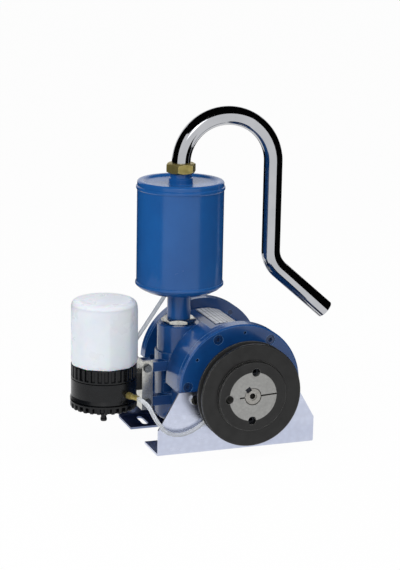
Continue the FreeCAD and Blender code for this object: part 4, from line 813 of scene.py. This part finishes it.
@dataclass
class ExhaustPipe:
    """The bent chrome tube: rise, arch, fall, elbow and outlet in one upright plane."""

    foot_x: float = -62.0
    foot_y: float = 1.0
    foot: float = 372.0
    spring: float = 401.0
    arch: float = 67.0
    elbow: float = 40.0
    elbow_height: float = 253.4
    tip_reach: float = 218.2
    tip_height: float = 179.5
    turn: float = -8.5
    radius: float = 13.38
    wall: float = 2.3
    lip: float = 0.5
    outlet_run: float = 90.0
    arch_steps: int = 97
    leg_steps: int = 13
    elbow_steps: int = 33
    columns: int = 96

    def centreline(self) -> tuple[np.ndarray, np.ndarray]:
        """The tube's middle line in its plane.

        Straight runs p = a + t d join two arcs p = c + R (cos q, sin q), tangent at each joint.

        Returns:
            Reach and height of each point, and the unit direction there.
        """
        fall = 2 * self.arch
        away = np.array([self.tip_reach - fall, self.tip_height - self.elbow_height])
        away = away / np.linalg.norm(away)
        bend = math.acos(-away[1])
        knee = self.elbow_height + self.elbow * math.tan(bend / 2)
        arch, arch_way = arc((self.arch, self.spring), self.arch, math.pi, 0, self.arch_steps)
        out = (math.pi, math.pi + bend, self.elbow_steps)
        elbow, elbow_way = arc((fall + self.elbow, knee), self.elbow, *out)
        start = np.array([[0.0, self.foot], [0.0, (self.foot + self.spring) / 2]])
        steps = np.linspace(0, 1, self.leg_steps)[1:-1, None]
        leg = np.array([fall, self.spring]) + steps * np.array([0, knee - self.spring])
        tip = np.array([self.tip_reach, self.tip_height])
        run = np.array([[0.5], [1 - self.lip / self.outlet_run], [1.0]])
        last = elbow[-1] + run * (tip - elbow[-1])
        line = np.vstack([start, arch, leg, elbow, last])
        way = np.vstack(
            [
                np.tile([0.0, 1.0], (len(start), 1)),
                arch_way,
                np.tile([0.0, -1.0], (len(leg), 1)),
                elbow_way,
                np.tile(away, (len(last), 1)),
            ]
        )
        return line, way

    def build(self, builder: Builder) -> None:
        """Sweeps a ring of outer wall, lip and bore along the middle line.

        p = line(u) + r(u) (cos v n(u) + sin v b), with n in the plane and b across it. The rows
        run along the outside and back along the inside, so the surface closes on itself.

        Args:
            builder: Makes the piece.
        """
        line, way = self.centreline()
        outside = np.full(len(line), self.radius)
        outside[-1] -= self.lip
        inside = np.full(len(line), self.radius - self.wall)
        inside[-1] += self.lip * 0.5
        line = np.vstack([line, line[::-1]])
        way = np.vstack([way, way[::-1]])
        radius = np.concatenate([outside, inside[::-1]])[:, None, None]
        angle = np.linspace(0, FULL_TURN, self.columns, endpoint=False)[None, :, None]
        level = level_way(self.turn)
        across = np.array([-level[1], level[0], 0.0])
        up = np.array([0.0, 0.0, 1.0])
        normal = way[:, 1:] * level - way[:, :1] * up
        foot = np.array([self.foot_x, self.foot_y, 0.0])
        middle = foot + line[:, :1] * level + line[:, 1:] * up
        round_it = np.cos(angle) * normal[:, None] + np.sin(angle) * across
        points = middle[:, None] + radius * round_it
        builder.put("bent_chrome_tube", points, "chrome_tube", "exhaust_pipe")


@dataclass
class Silencer:
    """The blue can on its stem, with the locknut below and the neck and nut above."""

    x: float = -62.0
    y: float = 1.0
    radius: float = 62.0
    wall: float = 1.2
    bottom: float = 215.7
    foot_radius: float = 50.0
    low_seam: float = 228.0
    high_seam: float = 366.0
    seam_half: float = 2.5
    swell: float = 1.5
    lap: float = 0.15
    rim: float = 376.5
    dish: float = 370.5
    stem_radius: float = 16.85
    stem_wall: float = 3.2
    stem_foot: float = 150.0
    stem_top: float = 222.0
    stem_fit: float = 0.05
    locknut_flats: float = 44.0
    locknut_foot: float = 168.0
    locknut_top: float = 176.0
    locknut_turn: float = 40.0
    neck_radius: float = 17.2
    neck_waist: float = 15.4
    neck_top: float = 387.0
    nut_flats: float = 38.0
    nut_top: float = 401.0
    pipe_radius: float = 13.5

    def build(self, builder: Builder) -> None:
        """Makes the can's pieces.

        Args:
            builder: Makes the pieces.
        """
        centre = (self.x, self.y, 0.0)
        outer, inner, proud = self.radius, self.radius - self.wall, self.radius + self.swell
        low, high, half = self.low_seam, self.high_seam, self.seam_half
        shell = [(inner, low, 0), (outer, low, 0), (outer, high, 0), (inner, high, 0)]
        bore = self.stem_radius + self.stem_fit
        floor, foot, lap = self.bottom, self.foot_radius, self.radius + self.lap
        bottom = [
            (bore, floor, 0.2), (foot - 2, floor, 3), (outer - 1.6, low - half * 2.2, 3),
            (outer - 0.3, low - half * 1.3, 0.4), (proud, low - half, 1.2),
            (proud, low + half * 0.5, 1.2), (lap, low + half, 0.5), (lap, low, 0),
            (inner - 1, low, 1), (foot - 3, floor + self.wall, 3), (bore, floor + self.wall, 0),
        ]
        rim, dish, waist, under = self.rim, self.dish, self.neck_waist, self.dish - self.wall
        top = [
            (waist, under, 0), (outer - 12, rim - 5.2, 2), (outer - 4, rim - 3, 1),
            (inner - 1, high, 1), (lap, high, 0), (lap, high - half, 0.5),
            (proud, high - half * 0.5, 1.2), (proud, high + half, 1.2),
            (outer - 0.2, high + half * 1.4, 0.6), (outer, rim, 3.6), (outer - 8, rim, 3.2),
            (outer - 13, rim - 3.4, 3), (self.neck_radius + 6, dish + 1.0, 3), (waist, dish, 0),
        ]
        sleeve, hole, end = self.neck_radius, self.pipe_radius, self.neck_top - 0.8
        neck = [
            (hole, under, 0), (waist, under, 0), (waist, dish, 0), (sleeve + 1.4, dish, 0.4),
            (sleeve, dish + 1.6, 1), (sleeve, dish + 9.2, 0.8), (waist + 0.2, dish + 9.8, 0.5),
            (waist, end, 0.3), (hole, end, 0),
        ]
        tube = self.stem_radius
        stem = [
            (tube - self.stem_wall, self.stem_foot, 0), (tube, self.stem_foot, 0.3),
            (tube, floor - 3.2, 0.4), (tube + 1.5, floor, 0.5), (tube, floor + 0.01, 0),
            (tube, self.stem_top, 0.5), (tube - self.stem_wall, self.stem_top, 0),
        ]
        for name, outline, node in (
            ("can_wall", shell, "silencer_shell"),
            ("can_floor", bottom, "silencer_bottom"),
            ("can_lid", top, "silencer_top"),
            ("can_neck", neck, "silencer_neck"),
            ("can_stem", stem, "exhaust_stem"),
        ):
            points = turned(rounded(outline), centre)
            builder.put(name, points, "can_enamel", node, sharp=50)
        levels = (self.locknut_foot, self.locknut_top)
        nut = hexagon(self.locknut_flats, *levels, bore, centre[:2], self.locknut_turn)
        builder.put("stem_nut", nut, "zinc_fastener", "stem_locknut", sharp=18)
        gland = hexagon(self.nut_flats, self.neck_top, self.nut_top, hole, centre[:2])
        builder.put("gland_nut", gland, "brass", "brass_nut", sharp=18)


def gap_share(angle: np.ndarray, count: int, level: float, edge: float) -> np.ndarray:
    """Teeth round a ring, 1 in a gap and 0 on a tooth: g = 0.5 - 0.5 tanh(e (cos(n v) - l))."""
    return 0.5 - 0.5 * np.tanh((np.cos(count * angle) - level) * edge)


@dataclass
class Lubricator:
    """The oil bottle upside down over its black holder: ribbed ring, notched ring and spigot."""

    x: float = -185.0
    y: float = -34.0
    bottle_foot: float = 127.0
    bottle_top: float = 219.0
    panels: int = 9
    panel_start: float = -97.0
    panel_depth: float = 1.2
    ring_radius: float = 46.5
    ring_foot: float = 106.0
    ring_bore: float = 21.0
    ribs: int = 30
    rib_depth: float = 3.0
    drain_radius: float = 47.5
    drain_foot: float = 63.5
    waist: float = 75.0
    waist_radius: float = 44.0
    notches: int = 28
    notch_depth: float = 5.5
    spigot_foot: float = 41.0

    def grip(self, wall: Wall) -> np.ndarray:
        """Square-topped ribs round the upper ring, from its lower lip to near its top.

        Args:
            wall: The turned points.

        Returns:
            What is added to the radius.
        """
        level = (wall.height > self.ring_foot + 3.5) & (wall.height < self.bottle_foot - 1.2)
        band = level & (wall.radius > self.ring_radius - 2)
        return -self.rib_depth * gap_share(wall.angle, self.ribs, 0.1, 5) * band

    def notch(self, wall: Wall) -> np.ndarray:
        """Notches between the lugs of the lower ring, under its flange.

        Args:
            wall: The turned points.

        Returns:
            What is added to the radius.
        """
        band = (wall.height < self.waist - 3.0) & (wall.radius > self.drain_radius - 4)
        return -self.notch_depth * gap_share(wall.angle, self.notches, 0.05, 7) * band

    def mould_lines(self, wall: Wall) -> np.ndarray:
        """Shallow panels of the blown bottle: r drops by d |sin((n / 2) (v - v0))|.

        The panels fade out under the rounded shoulder, so the bottle's top stays round.

        Args:
            wall: The turned points.

        Returns:
            What is added to the radius.
        """
        outside = np.clip((wall.radius - 38) / 8, 0, 1)
        below = np.clip((self.bottle_top - 5 - wall.height) / 12, 0, 1)
        turn = wall.angle - math.radians(self.panel_start)
        return -self.panel_depth * np.abs(np.sin(self.panels / 2 * turn)) * outside * below

    def build(self, builder: Builder) -> None:
        """Makes the bottle, rings, body and spigot.

        Args:
            builder: Makes the pieces.
        """
        centre = (self.x, self.y, 0.0)
        foot, top = self.bottle_foot, self.bottle_top
        bottle = [
            (ON_AXIS, top - 2.6, 0), (ON_AXIS, top - 0.8, 0), (30, top - 0.8, 3), (37.5, top, 2.5),
            (45.5, top - 3.0, 5), (47.3, top - 12, 5), (47.4, top - 18, 0), (47.8, foot + 6, 1.5),
            (46.3, foot, 1.2), (20, foot, 0.4), (20, foot - 12, 0.5), (18, foot - 12, 0.5),
            (18, foot + 2, 0.4), (44, foot + 2, 1), (45.8, foot + 7, 1), (45.2, top - 12, 4),
            (41.5, top - 4.6, 2), (30, top - 2.6, 1),
        ]
        points = turned(rounded(bottle, 8), centre, columns=256, change=self.mould_lines)
        body = Body.RESERVOIR
        builder.put("oil_bottle", points, "white_plastic", "oil_reservoir", body=body, sharp=60)
        ring, low, bore = self.ring_radius, self.ring_foot, self.ring_bore
        collar = [
            (bore, low, 0), (ring - 1.5, low, 0.5), (ring, low + 1.4, 0.6), (ring, low + 3.4, 0),
            (ring, low + 3.7, 0), (ring, foot - 1.4, 0), (ring, foot - 1.1, 0),
            (ring - 0.4, foot, 0.5), (bore, foot, 0),
        ]
        drain, base, waist = self.drain_radius, self.drain_foot, self.waist
        cup = [
            (ON_AXIS, base + 0.6, 0), (drain - 8, base + 0.6, 0.4), (drain - 6, base, 0.6),
            (drain - 1.2, base, 0.8), (drain - 0.2, base + 1.6, 0.5), (drain, waist - 3.2, 0),
            (drain, waist - 2.9, 0), (drain, waist, 1), (self.waist_radius, waist, 0),
            (ON_AXIS, waist, 0),
        ]
        tip = self.spigot_foot
        spigot = [
            (1.6, tip, 0.3), (4.2, tip, 0.4), (4.7, tip + 1.2, 0.4), (4.7, tip + 4, 0.3),
            (4.0, tip + 4.6, 0.3), (4.0, tip + 8, 0.3), (4.7, tip + 8.6, 0.3),
            (4.7, base - 7, 0.3), (8.5, base - 5.5, 0.6), (8.5, base + 0.5, 0.3),
            (1.6, base + 0.5, 0),
        ]
        for name, outline, columns, change, node, sharp in (
            ("ribbed_collar", collar, 640, self.grip, "upper_ring", 35),
            ("notched_cup", cup, 528, self.notch, "drain_ring", 35),
            ("drain_nipple", spigot, 48, None, "drain_spigot", 40),
        ):
            points = turned(rounded(outline), centre, columns=columns, change=change)
            builder.put(name, points, "black_plastic", node, sharp=sharp)


@dataclass
class OilHose:
    """One clear hose from the lubricator to the port in a cover, with a round section."""

    name: str
    node: str
    length: float
    start: tuple[float, float, float]
    azimuth: float
    lead: float
    middle: tuple[tuple[float, float, float], ...]
    port_y: float
    port_angle: float
    port_reach: float
    tail: float
    diameter: float = 6.0

    def route(self) -> np.ndarray:
        """The line's control points: a level lead, the middle, and a tail down to the port.

        The port is at c + R (cos q, 0, sin q), with c on the shaft's axis.

        Returns:
            The points in mm, one row each.
        """
        start = np.array(self.start)
        q = math.radians(self.port_angle)
        ray = np.array([math.cos(q), 0, math.sin(q)])
        port = np.array([0, self.port_y, SHAFT_HEIGHT]) + ray * self.port_reach
        lead = start + level_way(self.azimuth) * self.lead
        return np.vstack([start, lead, self.middle, port + ray * self.tail, port])

    def build(self, builder: Builder) -> None:
        """Args:
            builder: Gives the finish.
        """
        route = self.route()
        curve = bpy.data.curves.new(self.name, "CURVE")
        curve.dimensions = "3D"
        curve.bevel_depth = self.diameter / 2 * MM
        curve.bevel_resolution = 6
        curve.resolution_u = 16
        curve.use_fill_caps = True
        line = curve.splines.new("NURBS")
        line.points.add(len(route) - 1)
        points = np.ones((len(route), 4), np.float32)
        points[:, :3] = (route + TO_FRAME) * MM
        line.points.foreach_set("co", points.ravel())
        line.order_u = 3
        line.use_endpoint_u = True
        curve.materials.append(builder.palette.material("clear_hose"))
        hose = place_object(self.name, curve)
        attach(hose, Body.PUMP.value)
        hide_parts(self.node)
        builder.count += 1


@dataclass
class HoseFerrule:
    """The ridged brass sleeve crimped over a hose end on the lubricator's side."""

    name: str
    azimuth: float
    hinge: tuple[float, float, float] = (-185.0, -34.0, 88.0)
    start: float = 52.6
    length: float = 13.0
    bore: float = 2.7
    radius: float = 3.5
    ridge: float = 0.6
    ridges: int = 4

    def build(self, builder: Builder) -> None:
        """Turns the sleeve with saw-tooth ridges and lays it along the hose.

        Args:
            builder: Makes the piece.
        """
        pitch = self.length / (self.ridges + 1)
        proud, half = self.radius + self.ridge, self.ridge / 2
        outline = [(self.bore, 0, 0), (proud, 0, 0.3), (proud, pitch, 0.3)]
        for step in range(1, self.ridges + 1):
            outline.append((self.radius - half, pitch * step + 0.3, 0.2))
            outline.append((self.radius + half, pitch * (step + 0.6), 0.2))
        outline += [(self.radius, self.length, 0.3), (self.bore, self.length, 0)]
        seat = np.array(self.hinge) + self.start * level_way(self.azimuth)
        points = aimed(turned(rounded(outline), (0, 0, 0), columns=48), seat, self.azimuth)
        builder.put(self.name, points, "brass")


def from_pump(azimuth: float, elevation: float) -> Vector:
    """The unit vector (sin a cos e, -cos a cos e, sin e), with a from the front to the right."""
    a, e = math.radians(azimuth), math.radians(elevation)
    return Vector((math.sin(a) * math.cos(e), -math.cos(a) * math.cos(e), math.sin(e)))


@dataclass
class Studio:
    """The plain floor, soft lights, black cards and the camera at the photograph's angle."""

    target: tuple[float, float, float] = (-32.0, -4.0, 222.1)
    azimuth: float = -20.0
    elevation: float = 13.7
    roll: float = 1.06
    distance: float = 2526.0
    focal_pixels: float = 1751.0
    frame_pixels: float = 570.0
    sensor: float = 36.0
    clip_end: float = 200.0
    floor_half: float = 30.0
    floor_drop: float = 0.0002
    floor_glow: float = 0.97
    room_light: float = 0.32
    aim: tuple[float, float, float] = (-0.03, 0.062, 0.2)
    screen_reach: float = 0.8
    screen_top: float = 1.6
    rear_screen_top: float = 0.32
    ceiling_half: float = 0.9
    ceiling_height: float = 0.95

    def camera(self) -> None:
        """Puts the camera at the photograph's angle.

        Its axes are r' = r cos q + u sin q and u' = u cos q - r sin q, with r level, u across
        r and the line of sight, and q the roll.
        """
        q = math.radians(self.roll)
        back = from_pump(self.azimuth, self.elevation)
        level = Vector(level_way(self.azimuth))
        up = back.cross(level)
        right = level * math.cos(q) + up * math.sin(q)
        top = up * math.cos(q) - level * math.sin(q)
        data = bpy.data.cameras.new("camera")
        data.sensor_width = self.sensor
        data.lens = self.focal_pixels * self.sensor / self.frame_pixels
        data.clip_end = self.clip_end
        made = place_object("camera", data)
        place = (Vector(self.target) + Vector(TO_FRAME) + back * self.distance) * MM
        axes = Matrix((right, top, back)).transposed().to_4x4()
        made.matrix_world = Matrix.Translation(place) @ axes
        bpy.context.scene.camera = made

    def lamp(
        self,
        name: str,
        azimuth: float,
        elevation: float,
        distance: float,
        size: tuple[float, float],
        power: float,
        mirrored: bool = False,
    ) -> None:
        """Hangs a soft rectangular light that looks at the pump.

        Args:
            name: Its name.
            azimuth: Degrees round from the front, positive to the right.
            elevation: Degrees above level.
            distance: Metres from the pump.
            size: Width and height in metres.
            power: Watts.
            mirrored: Whether glossy surfaces show it.
        """
        data = bpy.data.lights.new(name, "AREA")
        data.shape = "RECTANGLE"
        data.size, data.size_y = size
        data.energy = power
        back = from_pump(azimuth, elevation)
        made = place_object(name, data)
        made.location = Vector(self.aim) + back * distance
        made.rotation_mode = "QUATERNION"
        made.rotation_quaternion = back.to_track_quat("Z", "Y")
        made.visible_glossy = mirrored

    def screen(self, start: float, end: float, top: float) -> tuple[np.ndarray, np.ndarray]:
        """A curved screen that stands round the pump.

        Its points are c + (R sin a, -R cos a, h), with a and h running evenly between their ends.

        Args:
            start: Degrees round from the front at one end, positive to the right.
            end: The same at its other end.
            top: Height of its upper edge, in metres.

        Returns:
            Its points in metres, and the point numbers of its faces.
        """
        turn = np.radians(np.linspace(start, end, 25))[:, None] + np.zeros((1, 2))
        level = np.array([[0.0, top]]) + 0 * turn
        reach = self.screen_reach
        points = np.stack([reach * np.sin(turn), -reach * np.cos(turn), level], axis=-1)
        first = np.arange(0, 2 * len(turn) - 2, 2)
        faces = np.stack([first, first + 1, first + 3, first + 2], axis=-1)
        return points.reshape(-1, 3) + np.array([self.aim[0], self.aim[1], 0]), faces

    def square(self, half: float, height: float) -> tuple[np.ndarray, np.ndarray]:
        """A level square over the origin.

        Args:
            half: Half its side, in metres.
            height: Its height, in metres.

        Returns:
            Its points, and the point numbers of its face.
        """
        signs = np.array([(-1, -1, 1), (1, -1, 1), (1, 1, 1), (-1, 1, 1)])
        return signs * (half, half, height), np.array([[0, 1, 2, 3]])

    def stand(
        self, name: str, shape: tuple[np.ndarray, np.ndarray], material: bpy.types.Material
    ) -> bpy.types.Object:
        """Puts up a piece of the studio, which isn't part of the pump.

        Args:
            name: Its name.
            shape: Its points in metres, and the point numbers of its faces.
            material: Its finish.

        Returns:
            The piece.
        """
        mesh = bpy.data.meshes.new(name)
        mesh.from_pydata(shape[0].tolist(), [], shape[1].tolist())
        mesh.materials.append(material)
        made = place_object(name, mesh)
        return made

    def cards(self) -> None:
        """Puts up black velvet cards that only glossy surfaces show."""
        velvet = blank_material("black_velvet_card")
        inputs = {"Base Color": linear("#0A0A0B"), "Roughness": 1.0, "Specular IOR Level": 0.0}
        shader = add_node(velvet.node_tree, "ShaderNodeBsdfPrincipled", inputs)
        add_node(velvet.node_tree, "ShaderNodeOutputMaterial", {"Surface": shader.outputs[0]})
        for name, shape in (
            ("right_screen", self.screen(30, 125, self.screen_top)),
            ("left_screen", self.screen(-150, -65, self.screen_top)),
            ("rear_screen", self.screen(125, 210, self.rear_screen_top)),
            ("ceiling_card", self.square(self.ceiling_half, self.ceiling_height)),
        ):
            card = self.stand(name, shape, velvet)
            card.visible_camera = card.visible_diffuse = card.visible_shadow = False
            card.visible_transmission = False

    def shown(self, tree: bpy.types.NodeTree) -> bpy.types.NodeSocket:
        """Whether a ray from the camera, or one that metal or clear plastic passes on, looks here.

        Args:
            tree: The node tree.

        Returns:
            1 for such a ray, else 0.
        """
        path = add_node(tree, "ShaderNodeLightPath").outputs
        seen = {0: path["Is Camera Ray"], 1: path["Is Glossy Ray"]}
        mirrored = add_node(tree, "ShaderNodeMath", seen, operation="MAXIMUM")
        passed = {0: mirrored.outputs[0], 1: path["Is Transmission Ray"]}
        return add_node(tree, "ShaderNodeMath", passed, operation="MAXIMUM").outputs[0]

    def backdrop(self) -> None:
        """Lays the white floor and lights the room around it evenly."""
        material = blank_material("white_paper_floor")
        tree = material.node_tree
        paper = add_node(tree, "ShaderNodeBsdfDiffuse", {"Color": linear("#F7F7F7")})
        glow = add_node(tree, "ShaderNodeEmission", {"Color": linear("#FFFFFF"), "Strength": 1.0})
        part = {0: self.shown(tree), 1: self.floor_glow}
        share = add_node(tree, "ShaderNodeMath", part, operation="MULTIPLY")
        halves = {0: share.outputs[0], 1: paper.outputs[0], 2: glow.outputs[0]}
        both = add_node(tree, "ShaderNodeMixShader", halves)
        add_node(tree, "ShaderNodeOutputMaterial", {"Surface": both.outputs[0]})
        self.stand("floor", self.square(self.floor_half, -self.floor_drop), material)
        world = bpy.data.worlds.new("studio_room")
        world.use_nodes = True
        tree = world.node_tree
        tree.nodes.clear()
        levels = {"Value": self.shown(tree), "To Min": self.room_light, "To Max": 1.0}
        strength = add_node(tree, "ShaderNodeMapRange", levels)
        white = {"Color": linear("#FFFFFF"), "Strength": strength.outputs[0]}
        room = add_node(tree, "ShaderNodeBackground", white)
        add_node(tree, "ShaderNodeOutputWorld", {"Surface": room.outputs[0]})
        bpy.context.scene.world = world

    def build(self) -> None:
        """Sets up the camera, floor, room, lights and cards."""
        bpy.context.scene.view_settings.view_transform = "Standard"
        self.camera()
        self.backdrop()
        self.lamp("key_softbox", -62, 38, 1.7, (0.9, 0.9), 13)
        self.lamp("front_softbox", -22, 30, 2.2, (0.55, 1.3), 5, True)
        self.lamp("right_softbox", 62, 30, 1.9, (0.5, 1.2), 2)
        self.lamp("top_softbox", 70, 68, 1.8, (0.9, 0.9), 9)
        self.cards()


FRONT_HOSE = OilHose(
    "front_clear_hose",
    "front_oil_hose",
    length=159,
    start=(-158.75, -79.466, 88.0),
    azimuth=-60,
    lead=28,
    middle=((-133, -112, 60), (-111, -104, 33)),
    port_y=-99.6,
    port_angle=219,
    port_reach=62,
    tail=34,
)
REAR_HOSE = OilHose(
    "rear_clear_hose",
    "rear_oil_hose",
    length=289,
    start=(-160.353, 12.355, 88.0),
    azimuth=62,
    lead=30,
    middle=(
        (-119, 50, 120), (-79, 58, 172), (-46, 78, 205), (-26, 98, 212), (-9, 109, 190),
    ),
    port_y=99.6,
    port_angle=100,
    port_reach=53,
    tail=20,
)


def main() -> None:
    """Builds the studio, the hoses and each sub-assembly, and reports what was made."""
    logging.basicConfig(level=logging.INFO, format="%(name)s: %(message)s")
    Studio().build()
    palette = Palette()
    palette.dress_solids()
    builder = Builder(palette)
    front_ferrule = HoseFerrule("front_ferrule", FRONT_HOSE.azimuth)
    rear_ferrule = HoseFerrule("rear_ferrule", REAR_HOSE.azimuth)
    hose_parts = (FRONT_HOSE, REAR_HOSE, front_ferrule, rear_ferrule)
    for part in (*hose_parts, ExhaustPipe(), Silencer(), Lubricator()):
        before = builder.count
        part.build(builder)
        log.info("%s: %d pieces", type(part).__name__, builder.count - before)
    log.info("%d finishes on %d solids", len(palette.made), len(frame["nodes"]))


if __name__ == "__main__":
    main()
